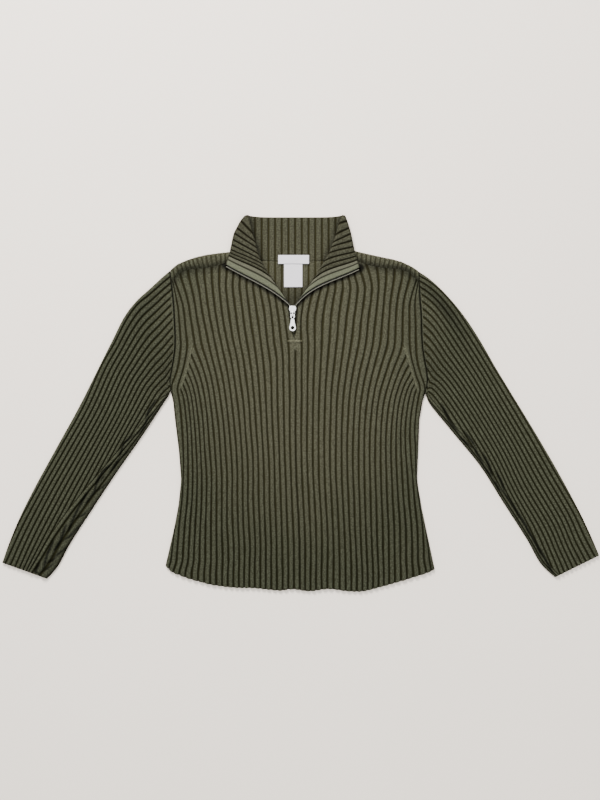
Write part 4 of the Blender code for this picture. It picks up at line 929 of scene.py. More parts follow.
class Sleeve:
    """A sleeve: one grid carried down the outside, in at the cuff and back up the lining.

    A ring runs over the top, from the outer edge to the crease, over the roll to the inner
    edge, and back under.  Its columns are rib lines, and its rows are stations.
    """

    def __init__(self, side, roll_ribs):
        self.side, self.roll_ribs = side, roll_ribs
        self.rows = SLEEVES[side]
        self.at = STATIONS[:, None]
        knots = np.linspace(0.0, 1.0, len(self.rows["ribs"]))
        self.line = {name: curve(knots, values, self.at) for name, values in self.rows.items()}
        self.outer, self.crease, self.inner = (
            np.stack([self.line[name + "_x"], self.line[name + "_y"]], axis=-1)
            for name in ("outer", "crease", "inner"))
        away = (self.outer - self.crease) / far(self.crease, self.outer)[..., None]
        self.outer = self.outer + away * SLEEVE_OUT[side] * ease(self.at, 0.0, 0.04)[..., None]
        self.lay_ring()
        self.find_marks()

    def top_line(self, top):
        """Points over the top: the ribs bunch by lean and bend, and the roll has its ridge."""
        first, line = self.line["first"], self.line
        even = snapped((top - first) / (line["ribs"] - first))
        share = even + even * (1.0 - even) * (line["lean"] + line["bend"] * (1.0 - 2.0 * even))
        roll, fold = np.clip(top - SLEEVE_RIBS, 0.0, self.roll_ribs), far(self.crease, self.inner)
        beyond = line["ridge"] * np.clip(roll, 0.0, 1.0)
        beyond = beyond + (fold - line["ridge"]) * np.clip(
            (roll - 1.0) / (self.roll_ribs - 1.0), 0.0, 1.0)
        return mixed(self.outer, self.crease, share[..., None]) + (
            self.inner - self.crease) * (beyond / fold)[..., None]

    def lay_ring(self):
        """Points (x, y) all round, drawn to the body's edge near the armhole."""
        top = rib_columns(0, SLEEVE_RIBS + self.roll_ribs)
        low = rib_columns(0, SLEEVE_RIBS, COARSE_PHASES)[1:-1]
        under = mixed(self.inner, self.outer, (low / SLEEVE_RIBS)[None, :, None])
        self.ring = np.concatenate([self.top_line(top), under], axis=1)
        self.is_top = np.arange(self.ring.shape[1]) < len(top)
        self.rib = np.broadcast_to(np.concatenate([top, UNDER_COUNT - low]), self.ring.shape[:2])
        self.width = far(self.outer, self.inner)
        self.from_outer = far(self.outer, self.ring)
        self.from_inner = far(self.inner, self.ring)
        self.shift = self.seam_shift()
        self.ring[..., 0] += self.shift

    def seam_shift(self):
        """How far in x each point moves to meet the body, less and less down the sleeve."""
        share = self.from_outer / self.width
        x, y = (mixed(self.rows["outer" + axis][0], self.rows["inner" + axis][0], share)
                for axis in ("_x", "_y"))
        edge = body_edge(self.side, y) + SIGN[self.side] * SEAM_GAP
        return (edge - x) * np.clip(1.0 - self.at / SLEEVE_SEAM_REACH, 0.0, 1.0) ** 2

    def find_marks(self):
        """The armhole's chain, the ridge of the roll and the depth of the folds."""
        self.reach = self.at * SLEEVE_LENGTH
        self.chain = self.is_top * ease(SEAM_CHAIN - self.reach, -1.5, 1.5) * ease(self.rib, 3.0, 4.5)
        on_ridge = 1.0 - (2.0 * (self.rib - SLEEVE_RIBS) - 1.0) ** 2
        self.on_ridge = np.sqrt(np.clip(on_ridge, 0.0, 1.0)) * self.is_top
        self.folds = creased(self.ring[..., 0], self.ring[..., 1], CREASES[self.side])

    def height(self, rise, roll_rise):
        """z on top = 4.7 + rise * crest(rib) less the folds, and below it the sole's ribs.

        Both are drawn to mid-height on quarter circles at the edges.
        """
        closed = (self.rib > self.line["ribs"]) | (self.rib < self.line["first"])
        closed = closed & (self.rib <= SLEEVE_RIBS) & self.is_top
        relief = np.maximum(crest(self.rib) * ~closed, 0.8 * self.chain)
        puff = roll_rise * self.on_ridge * ease(self.at, 0.3, 0.6)
        tall = SLEEVE_GROOVE + rise * relief + puff - self.folds
        tall = tall + 0.3 * ripple(self.ring[..., 0], self.ring[..., 1])
        near = np.minimum(self.from_outer, self.from_inner)
        full = np.where(self.is_top, rounded(near, SLEEVE_ROUND), rounded(near, SOLE_ROUND))
        full = full * dipped(self.reach, *ARMHOLE_ROLL)
        full = full * rolled(SLEEVE_LENGTH - self.reach, *CUFF_ROLL)
        z = mixed(SLEEVE_MIDDLE, np.where(self.is_top, tall, sole_ribs(relief)), full)
        least = SLEEVE_MIDDLE + LEAST_ROLL[0] * rounded(near, LEAST_ROLL[1])
        return np.where(self.is_top, np.maximum(z, least), z)

    def outside(self, rise, roll_rise):
        """The ring with its heights, scalloped along the cuff."""
        points = np.concatenate([self.ring, self.height(rise, roll_rise)[..., None]], axis=-1)
        ahead = self.outer[-1] - self.outer[-20]
        scallop = CUFF_SCALLOP * (1.0 - crest(self.rib[-1])) * self.is_top
        scallop = scallop * ease(self.at, 0.985, 1.0)
        points[..., :2] -= ahead / np.linalg.norm(ahead) * scallop[..., None]
        return points

    def tone(self):
        """Painted shade at the armhole, in the folds, inside the roll and in the hollow; painted
        highlight on ridges.
        """
        seam = SLEEVE_SEAM_SHADE * fade(self.reach, 0.6, 2.6)
        folds = np.clip(self.folds / 2.0, 0.0, 1.05) * self.is_top
        inside = ease(self.rib, SLEEVE_RIBS + 1.0, SLEEVE_RIBS + 1.3) * (self.at > 0.3)
        inside = inside * self.is_top * (0.12 + shade_near(self.from_inner, *ROLL_SHADE))
        hollow = bump(self.from_outer, *HOLLOW_ACROSS) * bump(self.at, *HOLLOW_ALONG)
        tone = most(seam, folds, inside, hollow * self.is_top * SLEEVE_HOLLOW_SHADE[self.side])
        ridge = RIDGE_HIGHLIGHT[self.side] * self.on_ridge * ease(self.at, 0.35, 0.5)
        return tone - ridge - SLEEVE_LIGHT[self.side]

    def lining(self, rows):
        """The inside at some stations: two layers 0.7 mm apart, 5 mm in from both edges."""
        width = self.width[rows]
        inset = np.clip(self.from_outer[rows], LINING_INSET, width - LINING_INSET) / width
        points = mixed(self.outer[rows], self.inner[rows], inset[..., None])
        points[..., 0] += self.shift[rows]
        height = SLEEVE_MIDDLE + np.where(self.is_top, LINING_GAP, -LINING_GAP)
        height = np.broadcast_to(height, self.shift[rows].shape)
        return np.concatenate([points, height[..., None]], axis=-1)

    def surface(self, rise, roll_rise):
        """The outside, the lining and the armhole's edge again, closed round each ring."""
        rows = [int(np.argmin(np.abs(STATIONS - station))) for station in LINING_STATIONS]
        outside, tone = self.outside(rise, roll_rise), self.tone()
        lining = self.lining(rows)
        # The lining is painted fully shaded
        layers = ((outside, lining), (self.rib, self.rib[rows]), (tone, np.ones(lining.shape[:2])),
                  (self.chain, np.zeros(lining.shape[:2])))
        points, rib, tone, plain = (closed_ring(*layer) for layer in layers)
        rib[:, -1] = rib[:, -2] + COARSE_PHASES[1]
        length = np.concatenate([self.reach, self.reach[rows], self.reach[:1]])
        return Surface().grid(points, rib, length, tone, plain)


def closed_ring(outside, inside):
    """Rows of the outside and the inside, with the first row and the first column again."""
    rows = np.concatenate([outside, inside, outside[:1]])
    return np.concatenate([rows, rows[:, :1]], axis=1)


# ------------------------------------------------------------------ collar

COLLAR_FOOT = ((-140.0, 285.0), (-124.8, 285.0), *NECKLINE[1:-1], (100.8, 287.0), (115.0, 287.0))
FOOT_GAP = 0.05
STAND_TALL, STAND_GROOVE, STAND_CURL = 7.2, 1.5, 7.0
STAND_START, STAND_ROUNDS = 275.0, 4
STAND_ROLL, STAND_DIP = (0.25, 3.0), (0.97, 2.0)
STAND_TONE, LAPEL_TONE = 0.13, 0.2
STAND_LEVELS = np.array((0.0, 0.004, 0.012, 0.03, 0.06, 0.12, 0.2, 0.3, 0.4, 0.5, 0.6, 0.7, 0.8,
                         0.88, 0.93, 0.96, 0.98, 0.992, 1.0))[:, None]
STAND_COLUMNS = mixed(STAND_LEFT, STAND_RIGHT, rib_columns(0, STAND_RIBS) / STAND_RIBS)
WING_START = 1.5
WING_INSETS = WING_START + np.array((0.0, 0.2, 0.8, 2.0, 4.0, 9.0))
CURL_INSETS = np.array((-6.0, -2.0, 0.0, 0.25, 0.7, 1.4, 2.4, 3.6, 5.2, 7.0))
LAPEL_SHARES = (0.0, 0.004, 0.012, 0.026, 0.045, 0.07, 0.1, 0.14, 0.2, 0.3, 0.4, 0.5, 0.6, 0.7,
                0.8, 0.87, 0.92, 0.95, 0.97, 0.985, 0.995, 1.0)
LAPEL_GROOVE, LAPEL_BED, LAPEL_ROLL, LAPEL_BED_STEP = 11.2, 9.8, 6.0, 0.04
BED_RANKS = np.array((LAPEL_BED_STEP, 0.2, 0.5, 0.8, 0.95, 0.99, 1.0))
LAPEL_EDGE, LAPEL_TIP = (0.3, 4.0), (0.35, 4.0)
LAPEL_EDGE_SHADE, VALLEY_SHADE = (0.35, 5.0), 0.85
ZIP_BOW = {"left": 7.0, "right": 13.0}


def lapel_line(side, rank, share):
    """Points (x, y) on a lapel: rank counts valleys from the tip, share runs out from the roll.

    Each line bows towards the tip by bow * 4s(1 - s)^2, most of all on the zip's edge.
    """
    steps = np.arange(LAPEL_ZIP + 1)
    outer, roll = (np.stack([curve(steps, LAPELS[side][edge + axis], rank) for axis in ("_x", "_y")],
                            axis=-1) for edge in ("outer", "roll"))
    run = outer - roll
    width = np.linalg.norm(run, axis=-1)
    bow = ZIP_BOW[side] * 4.0 * share * (1.0 - share) ** 2 * (rank / LAPEL_ZIP) ** 3
    lift = np.stack([-run[..., 1], run[..., 0]], axis=-1) / width[..., None]
    lift = lift * np.sign(lift[..., 1:2])
    return roll + run * share[..., None] + lift * bow[..., None], width


def stand_x(y):
    """x of each column of the stand at the heights y.

    From either side: in from the lapel's outer edge, across its roll, and the ribs between.
    """
    a, b = len(WING_INSETS), len(WING_INSETS) + len(CURL_INSETS)
    left, right = lapel_x("left", "roll", y), lapel_x("right", "roll", y)
    x = np.empty_like(y)
    x[:, a:b] = left[:, a:b] + CURL_INSETS
    x[:, -b:-a] = right[:, -b:-a] - CURL_INSETS[::-1]
    x[:, b:-b] = np.clip(STAND_COLUMNS, left[:, b:-b] + CURL_INSETS[-1],
                         right[:, b:-b] - CURL_INSETS[-1])
    x[:, :a] = np.minimum(lapel_x("left", "outer", y[:, :a]) + WING_INSETS, x[:, a:a + 1] - 0.01)
    x[:, -a:] = np.maximum(lapel_x("right", "outer", y[:, -a:]) - WING_INSETS[::-1],
                           x[:, -a - 1:-a] + 0.01)
    return x


def stand_ends(x):
    """y of the stand's foot along the neck, and of its top, which rises to both tips."""
    middle = (STAND_LEFT + STAND_RIGHT) / 2
    rise = np.minimum(np.abs((x - middle) / (STAND_RIGHT - middle)) ** 6, 1.0)
    return along(COLLAR_FOOT, x) + FOOT_GAP, STAND_TOP + STAND_TIP_RISE * rise


def stand_surface(rise):
    """The collar's stand: ribs seen from inside, curling up beside both roll lines.

    Between the rolls z = 1.5 + rise * crest(rib), lifted on a concave quarter circle over
    the last 7 mm; beyond them it lies under the lapels.
    """
    count = len(STAND_COLUMNS) + 2 * (len(WING_INSETS) + len(CURL_INSETS))
    y = mixed(STAND_START, STAND_TOP, np.repeat(STAND_LEVELS, count, axis=1))
    for _ in range(STAND_ROUNDS):
        foot, head = stand_ends(stand_x(y))
        y = mixed(foot, head, STAND_LEVELS)
    x = stand_x(y)
    rib = (x - STAND_LEFT) / (STAND_RIGHT - STAND_LEFT) * STAND_RIBS
    inward = np.minimum(x - lapel_x("left", "roll", y), lapel_x("right", "roll", y) - x)
    curl = 1.0 - rounded(np.maximum(inward, 0.0), STAND_CURL)
    z = mixed(STAND_GROOVE + rise * crest(rib), STAND_TALL, curl)
    edge = np.minimum(x - lapel_x("left", "outer", y), lapel_x("right", "outer", y) - x) - WING_START
    z = np.where(inward < 0.0, mixed(SOLE, STAND_TALL, rounded(edge, 3.0)), z)
    to_top, to_foot = head - y, y - foot
    full = rolled(to_top, *STAND_ROLL) * dipped(to_foot, *STAND_DIP)
    under = mixed(SOLE, sole_ribs(crest(rib + 0.5)), rounded(np.minimum(to_top, to_foot), 4.0))
    z = walled(mixed(SOLE, z, full), under, 0.2)
    # Tone: an even darkening of the stand, and painted shadow beside both roll lines
    return Surface().shell((x, y, z), under, rib, y, 1, STAND_TONE + 0.6 * bump(inward, 0.0, 8.0))


def lapel_surface(side, rise):
    """A turned-over collar front: ribs run out from a rounded roll, then the zip facing's bed.

    z = 11.2 + rise * crest(rib), rounded over 6 mm at the roll and 4 mm at the free edges.
    """
    ranks = np.concatenate([rib_columns(0, LAPEL_RIBS), LAPEL_RIBS + BED_RANKS])
    rank, share = np.meshgrid(ranks, np.array(LAPEL_SHARES))
    xy, width = lapel_line(side, rank, share)
    from_roll, to_outer = share * width, (1.0 - share) * width
    flat = LAPEL_GROOVE - 0.6 * share + 0.8 * bump(from_roll, LAPEL_ROLL, 9.0)
    flat = flat + rise * crest(rank) * (rank < LAPEL_RIBS)
    flat = mixed(flat, LAPEL_BED, np.clip((rank - LAPEL_RIBS) / LAPEL_BED_STEP, 0.0, 1.0))
    across, near_top = (LAPEL_ZIP - rank) * 8.0, rank * 9.0
    lift = rounded(from_roll, LAPEL_ROLL) * rolled(to_outer, *LAPEL_EDGE)
    lift = lift * rounded(across, 2.0) * rolled(near_top, *LAPEL_TIP)
    z = walled(mixed(LAPEL_UNDER, flat, lift), LAPEL_UNDER, 0.25)
    # Painted shade at the roll, along the outer edge and in the rib valleys, over an even darkening of
    # the lapel
    edges = 0.5 * (1.0 - rounded(from_roll, 5.0)) + shade_near(to_outer, *LAPEL_EDGE_SHADE)
    valley = shade_near(crest(rank), VALLEY_SHADE, 0.8) * (rank < LAPEL_RIBS + 0.02)
    tone = np.maximum(mixed(LAPEL_TONE, 1.0, edges), valley)
    return Surface().shell((xy[..., 0], xy[..., 1], z), LAPEL_UNDER, rank, from_roll, 1, tone)


FACING_RANKS = np.array((0.05, 0.06, 0.1, 0.18, 0.3, 0.39, 0.44, 0.49, 0.56, 0.66, 0.8, 0.9, 0.95,
                         0.96))
FACING_SHARES = np.linspace(0.008, 0.992, 60)
FACING_GROOVE = 0.44
FACING_BED = 10.1
FACING_WALL, FACING_SINK = 1.3, 0.45
FACING_ENDS = (0.3, 2.0)


def facing_surface(side):
    """The smooth strip over the zip tape: two flat bands with a sunk line between them."""
    across, share = np.meshgrid(FACING_RANKS, FACING_SHARES)
    xy, width = lapel_line(side, LAPEL_RIBS + across, share)
    from_roll, to_outer = (share - FACING_SHARES[0]) * width, (FACING_SHARES[-1] - share) * width
    edge = np.minimum(across - FACING_RANKS[0], FACING_RANKS[-1] - across) * 9.0
    tall = rounded(edge, 1.0) * rolled(np.minimum(from_roll, to_outer), *FACING_ENDS)
    tall = FACING_WALL * (tall - FACING_SINK * bump(across, FACING_GROOVE, 0.035))
    lift = rolled(to_outer, *LAPEL_EDGE) * rounded(from_roll + 1.0, 5.0)
    bed = mixed(LAPEL_UNDER, FACING_BED, lift)
    # Painted shade along the strip's rounded edges
    tone = 0.6 * (1.0 - rounded(edge, 1.0))
    return Surface().shell((xy[..., 0], xy[..., 1], walled(bed + tall, bed, 0.15)), bed, across,
                           from_roll, 1, tone)


# ------------------------------------------------------------------ zip

CHAIN_MOUTH = {"left": (-14.9, 181.0, 6.0), "right": (-12.9, 181.0, 6.0)}
SLIDER_X = -13.9
CHAIN_END = (SLIDER_X, 176.0, 5.9)
CHAIN_HEIGHT = 8.6
CHAIN_SHARES = np.linspace(0.97, 0.0, 60)
TOOTH_PITCH = 1.3
TOOTH_SIZE = (0.8, 0.48, 0.55)
TOOTH_OUT = 2.6
TAPE_ACROSS = np.array((0.3, 0.45, 0.8, 1.5, 1.9, 2.1))
TAPE_LEVEL = np.array((0.0, 0.25, 0.35, 0.35, 0.25, 0.0))
TAPE_WALL = 0.5


def chain_path(side):
    """Points, ways ahead and ways out, every tooth pitch along a lapel's edge to the slider."""
    xy, _ = lapel_line(side, np.full_like(CHAIN_SHARES, float(LAPEL_ZIP)), CHAIN_SHARES)
    path = np.concatenate([np.column_stack([xy, np.full(len(xy), CHAIN_HEIGHT)]),
                           [CHAIN_MOUTH[side], CHAIN_END]])
    steps = np.concatenate([[0.0], np.cumsum(far(path[:-1], path[1:]))])
    at = np.arange(0.0, steps[-1], TOOTH_PITCH)
    centre = np.stack([np.interp(at, steps, path[:, k]) for k in range(3)], axis=-1)
    ahead = np.gradient(centre, axis=0)
    ahead /= np.linalg.norm(ahead, axis=1)[:, None]
    out = np.stack([ahead[:, 1], -ahead[:, 0], np.zeros(len(at))], axis=-1)
    return centre, ahead, out * -np.sign(out[0, 1]), at


def bead_grid(rows, columns):
    """Unit ball as a grid: (cos a cos b, cos a sin b, sin a), squared off by a power of 0.6."""
    a = np.linspace(-math.pi / 2, math.pi / 2, rows)[:, None]
    b = np.linspace(0.0, 2 * math.pi, columns + 1)[None, :]
    unit = np.stack(np.broadcast_arrays(np.cos(a) * np.cos(b), np.cos(a) * np.sin(b),
                                        np.sin(a)), axis=-1)
    return np.sign(unit) * np.abs(unit) ** 0.6


def chain_surface(side):
    """One half of the zip: its tape edge, and squared-off beads across it for teeth."""
    centre, ahead, out, at = chain_path(side)
    ball = bead_grid(5, 8) * np.array(TOOTH_SIZE)
    up = np.array((0.0, 0.0, 1.0))
    surface = Surface()
    for point, along_it, across_it in zip(centre, ahead, out):
        spots = point + across_it * TOOTH_OUT + ball @ np.stack([across_it, along_it, up])
        surface.grid(spots, 0.0, 0.0)
    x, y, z = np.moveaxis(centre[:, None] + out[:, None] * TAPE_ACROSS[:, None], -1, 0)
    under = z - TAPE_WALL
    return surface.shell((x, y, walled(z + TAPE_LEVEL, under, 0.0)), under, 0.5, at[:, None], 1, 0.5)


# ------------------------------------------------------------------ metal and labels

MIRROR = np.array((-1.0, 1.0))
HINGE_Y, HINGE_Z = 164.7, 10.5
SLIDER_SIDE = ((3.2, 180.9), (5.4, 180.0), (6.5, 177.6), (6.5, 174.8), (5.6, 172.2),
               (4.3, 170.8), (4.2, 165.0), (4.1, 162.4), (3.2, 161.5))
SLIDER_SLOT = ((-3.6, 165.9), (3.6, 165.9), (3.6, 168.1), (-3.6, 168.1))
SLIDER_POST = ((0.6, 174.0), (1.9, 178.0), (1.5, 180.1))
LOWER_PLATE, UPPER_PLATE = (3.2, 4.5), (7.8, 9.0)
ARCH_BOTTOM, ARCH_TOP = 161.9, 173.0
ARCH_HALF_WIDTH, ARCH_WALL, ARCH_HEIGHT = 1.0, 1.3, 13.3
ARCH_FOOT, ARCH_INNER = UPPER_PLATE[1] - 0.3, ARCH_HEIGHT - ARCH_WALL
ARCH_VIEW = (  # y, z round the arch, seen from the side
    (ARCH_BOTTOM, ARCH_FOOT), (ARCH_BOTTOM, ARCH_HEIGHT - 1.4),
    (ARCH_BOTTOM + 0.4, ARCH_HEIGHT - 0.4), (ARCH_BOTTOM + 1.4, ARCH_HEIGHT),
    (ARCH_TOP - 4.0, ARCH_HEIGHT), (ARCH_TOP - 2.4, ARCH_HEIGHT - 0.8),
    (ARCH_TOP - 0.4, ARCH_FOOT + 1.8), (ARCH_TOP, ARCH_FOOT), (ARCH_TOP - 2.2, ARCH_FOOT),
    (ARCH_TOP - 3.0, ARCH_INNER - 0.8), (ARCH_TOP - 3.8, ARCH_INNER),
    (ARCH_BOTTOM + ARCH_WALL + 0.6, ARCH_INNER), (ARCH_BOTTOM + ARCH_WALL, ARCH_INNER - 0.6),
    (ARCH_BOTTOM + ARCH_WALL, ARCH_FOOT),
)
PULL_WALL = 1.6
PULL_REACH = 24.8
PULL_RING, PULL_HOLE = 6.2, 3.4
PULL_CORNER, PULL_TOP = 1.2, -0.5
PULL_SIDE = ((4.2, PULL_TOP), (4.2, -5.4), (2.6, -6.6), (2.2, -8.6), (3.4, -10.2),
             (3.8, -15.0), (4.9, -19.0))
WINDOW_HALF, WINDOW_NEAR, WINDOW_FAR, WINDOW_CUT = 1.7, 0.8, 7.6, 0.8
PULL_REST_TILT = math.radians(4.35)
NECK_LABEL = (-41.0, 17.0, 260.0, 276.5, 4.5, 5.5)
CARE_LABEL = (-30.0, 4.5, 216.5, 262.5, 3.15, 4.15)


def arc(x, y, radius, start, end, count):
    """Points on an arc, with the angles in degrees."""
    angles = np.radians(np.linspace(start, end, count))
    return np.column_stack([x + radius * np.cos(angles), y + radius * np.sin(angles)])


def mirrored(half):
    """A right-hand line of points, and the same on the left on the way back."""
    return np.concatenate([half, np.array(half)[::-1] * MIRROR])


def plate_mesh(outlines, wall, bevel):
    """Points in mm and faces of a flat plate with rounded rims, centred on z = 0.

    The first outline is the rim and the others are holes.
    """
    shape = bpy.data.curves.new("plate", "CURVE")
    shape.dimensions = "2D"
    shape.fill_mode = "BOTH"
    shape.extrude = wall / 2 - bevel
    shape.bevel_depth = bevel
    shape.bevel_resolution = 2
    shape.offset = -bevel
    for outline in outlines:
        spline = shape.splines.new("POLY")
        spline.points.add(len(outline) - 1)
        flat = np.zeros((len(outline), 4))
        flat[:, :2] = outline
        flat[:, 3] = 1.0
        spline.points.foreach_set("co", flat.ravel())
        spline.use_cyclic_u = True
    holder = bpy.data.objects.new("plate", shape)
    mesh = bpy.data.meshes.new_from_object(holder)
    points = np.empty(len(mesh.vertices) * 3)
    mesh.vertices.foreach_get("co", points)
    faces = [list(p.vertices) for p in mesh.polygons]
    bpy.data.objects.remove(holder)
    bpy.data.curves.remove(shape)
    bpy.data.meshes.remove(mesh)
    return points.reshape(-1, 3), faces


def plates_object(name, plates, material, body):
    """One object from several (points, faces) plates, smooth but for its sharp turns."""
    points, faces, count = [], [], 0
    for spots, polygons in plates:
        points.append(spots)
        faces += [[count + v for v in p] for p in polygons]
        count += len(spots)
    mesh = bpy.data.meshes.new(name)
    mesh.from_pydata(np.concatenate(points) * MM, [], faces)
    mesh.shade_smooth()
    mesh.set_sharp_from_angle(angle=math.radians(40.0))
    mesh.materials.append(material)
    return new_object(name, mesh, body)


def slider_plate(outlines, low, high, bevel):
    """A level plate of the slider between two heights."""
    points, faces = plate_mesh(outlines, high - low, bevel)
    return points + np.array((SLIDER_X, 0.0, (low + high) / 2)), faces


def slider_plates():
    """The slider's two plates, the post between them and the arch over the pull."""
    outlines = [mirrored(SLIDER_SIDE), SLIDER_SLOT]
    arch, faces = plate_mesh([ARCH_VIEW], ARCH_HALF_WIDTH * 2, 0.35)
    return [slider_plate(outlines, *LOWER_PLATE, 0.4),
            slider_plate(outlines, *UPPER_PLATE, 0.4),
            slider_plate([mirrored(SLIDER_POST)], LOWER_PLATE[1] - 0.3, UPPER_PLATE[0] + 0.3, 0.2),
            (np.column_stack([SLIDER_X + arch[:, 2], arch[:, 0], arch[:, 1]]), faces)]


def pull_plates():
    """The pull tab at rest: a waisted tongue with its window, and a round end with its hole."""
    head = PULL_SIDE[0][0] - PULL_CORNER
    corner = arc(head, PULL_TOP, PULL_CORNER, 90.0, 0.0, 5)
    ring = arc(0.0, -PULL_REACH, PULL_RING, 32.0, -212.0, 36)
    half = np.concatenate([corner, PULL_SIDE])
    rim = np.concatenate([half[::-1] * MIRROR, half, ring])
    window = mirrored(((WINDOW_HALF, -WINDOW_NEAR), (WINDOW_HALF, WINDOW_CUT - WINDOW_FAR),
                       (WINDOW_HALF - WINDOW_CUT, -WINDOW_FAR)))
    hole = arc(0.0, -PULL_REACH, PULL_HOLE, 0.0, 348.75, 32)
    points, faces = plate_mesh([rim, window, hole], PULL_WALL, 0.45)
    cosine, sine = math.cos(PULL_REST_TILT), math.sin(PULL_REST_TILT)
    y = points[:, 1] * cosine - points[:, 2] * sine + HINGE_Y
    z = points[:, 1] * sine + points[:, 2] * cosine + HINGE_Z
    return [(np.column_stack([points[:, 0] + SLIDER_X, y, z]), faces)]


def label_surface(sizes, wave):
    """A woven label: z = over + wave * sin(x) * sin(y), with crisp edges."""
    left, right, bottom, top, under, over = sizes
    across, level = graded(24, right - left), graded(24, top - bottom)
    x, y = np.meshgrid(mixed(left, right, across), mixed(bottom, top, level))
    edge = np.minimum(np.minimum(x - left, right - x), np.minimum(y - bottom, top - y))
    z = over + wave * np.sin(x / 6.0 + 1.0) * np.sin(y / 9.0 + 0.5) * ease(edge, 0.0, 6.0)
    z = mixed(under, z, rounded(edge, 0.5))
    return Surface().shell((x, y, z), under, (x - left) / (right - left), y - bottom, 4)


# ------------------------------------------------------------------ materials

class Value:
    """A shader socket that takes part in sums: each operator adds a Math node."""

    def __init__(self, shader, socket):
        self.shader, self.socket = shader, socket

    def _sum(self, operation, *others):
        return self.shader.node("Math", {"operation": operation}, dict(enumerate(others)))[0]

    def __add__(self, other):
        return self._sum("ADD", self, other)

    def __sub__(self, other):
        return self._sum("SUBTRACT", self, other)

    def __mul__(self, other):
        return self._sum("MULTIPLY", self, other)

    def __truediv__(self, other):
        return self._sum("DIVIDE", self, other)

    def __pow__(self, other):
        return self._sum("POWER", self, other)

    def __rsub__(self, other):
        return self._sum("SUBTRACT", other, self)

    __radd__ = __add__
    __rmul__ = __mul__

    def of(self, operation, *others):
        """This value through any operation of the Math node."""
        return self._sum(operation, self, *others)

    def between(self, low, high):
        """Smooth step from 0 at low to 1 at high."""
        inputs = {"Value": self, "From Min": low, "From Max": high}
        return self.shader.node("MapRange", {"interpolation_type": "SMOOTHSTEP"}, inputs)[0]


FINISH = "finish_"
TURN = 2.0 * math.pi


class Shader:
    """A material being put together on one Principled BSDF."""

    def __init__(self, name):
        self.material = bpy.data.materials.new(FINISH + name)
        self.material.use_nodes = True
        self.tree = self.material.node_tree
        self.bsdf = self.tree.nodes["Principled BSDF"]

    def node(self, kind, settings, inputs):
        """A new node: its settings, then its inputs as values or links.  Gives its outputs."""
        node = self.tree.nodes.new("ShaderNode" + kind)
        for name, value in settings.items():
            setattr(node, name, value)
        for key, value in inputs.items():
            self.feed(node.inputs[key], value)
        return [Value(self, socket) for socket in node.outputs]

    def feed(self, socket, value):
        """Link a Value to a socket, or set its number."""
        if isinstance(value, Value):
            self.tree.links.new(value.socket, socket)
        else:
            socket.default_value = value

    def set(self, **inputs):
        """Inputs of the Principled BSDF, with _ for a space in their names."""
        for name, value in inputs.items():
            self.feed(self.bsdf.inputs[name.replace("_", " ")], value)

    def uv(self):
        """The two parts of the UV map: rib number and length in millimetres."""
        vector = self.node("UVMap", {"uv_map": "UVMap"}, {})[0]
        return self.node("SeparateXYZ", {}, {0: vector})[:2]

    def attribute(self, name):
        """A point attribute: tone is painted shade in folds, seams and shadows, painted light below 0;
        plain has no grooves.
        """
        return self.node("Attribute", {"attribute_name": name}, {})[2]

    def place(self):
        """Object coordinates in metres, which are the garment's own."""
        return self.node("TexCoord", {}, {})[3]

    def noise(self, scale, detail=2.0, vector=None):
        """Noise between 0 and 1 about the garment's own coordinates."""
        inputs = {"Vector": vector or self.place(), "Scale": scale, "Detail": detail}
        return self.node("TexNoise", {}, inputs)[0]

    def mix(self, factor, first, second):
        """Colour between two, by the factor."""
        return self.node("Mix", {"data_type": "RGBA"}, {0: factor, 6: first, 7: second})[2]

    def scaled(self, colour, factor):
        """A colour times a value."""
        start = colour if isinstance(colour, Value) else tuple(colour)
        return self.node("VectorMath", {"operation": "SCALE"}, {0: start, "Scale": factor})[0]

    def bump(self, height, distance, strength=1.0):
        """A normal from a height between 0 and 1 and the depth in metres."""
        inputs = {"Height": height, "Distance": distance, "Strength": strength}
        return self.node("Bump", {}, inputs)[0]


def rgba(colour):
    """A colour property as the four numbers of a colour socket."""
    return (*colour, 1.0)


COURSE, STITCH_SLANT = 2.3, 0.55
FLECK_SCALE, FIBRE_SCALE, PATCH_SCALE = 420.0, 2600.0, 9.0
WALE_START, WALE_END = 0.10, 0.90
WARM_Y = 0.1
STITCH_DEPTH = 0.0009


def knit_tints(shader, colours, fleck):
    """Colours of rib and of the groove's painted shade, warmer towards the body's middle, and how near
    that is.
    """
    x, y = shader.node("SeparateXYZ", {}, {0: shader.place()})[:2]
    beyond = y - WARM_Y
    reach = x * x * 12.0 + beyond * beyond * 6.0
    patch = shader.noise(PATCH_SCALE, 3.0)
    warm = (1.05 - reach + (patch - 0.5) * 0.5).between(0.0, 1.0)
    tint = shader.mix(warm, rgba(colours.knit), rgba(colours.knit_warm))
    tint = shader.mix(fleck.between(0.35, 0.75) * 0.3, tint, rgba(colours.fleck))
    middle = warm ** 0.5
    return tint, shader.mix(middle, rgba(colours.groove), rgba(colours.warm_groove_shade)), middle


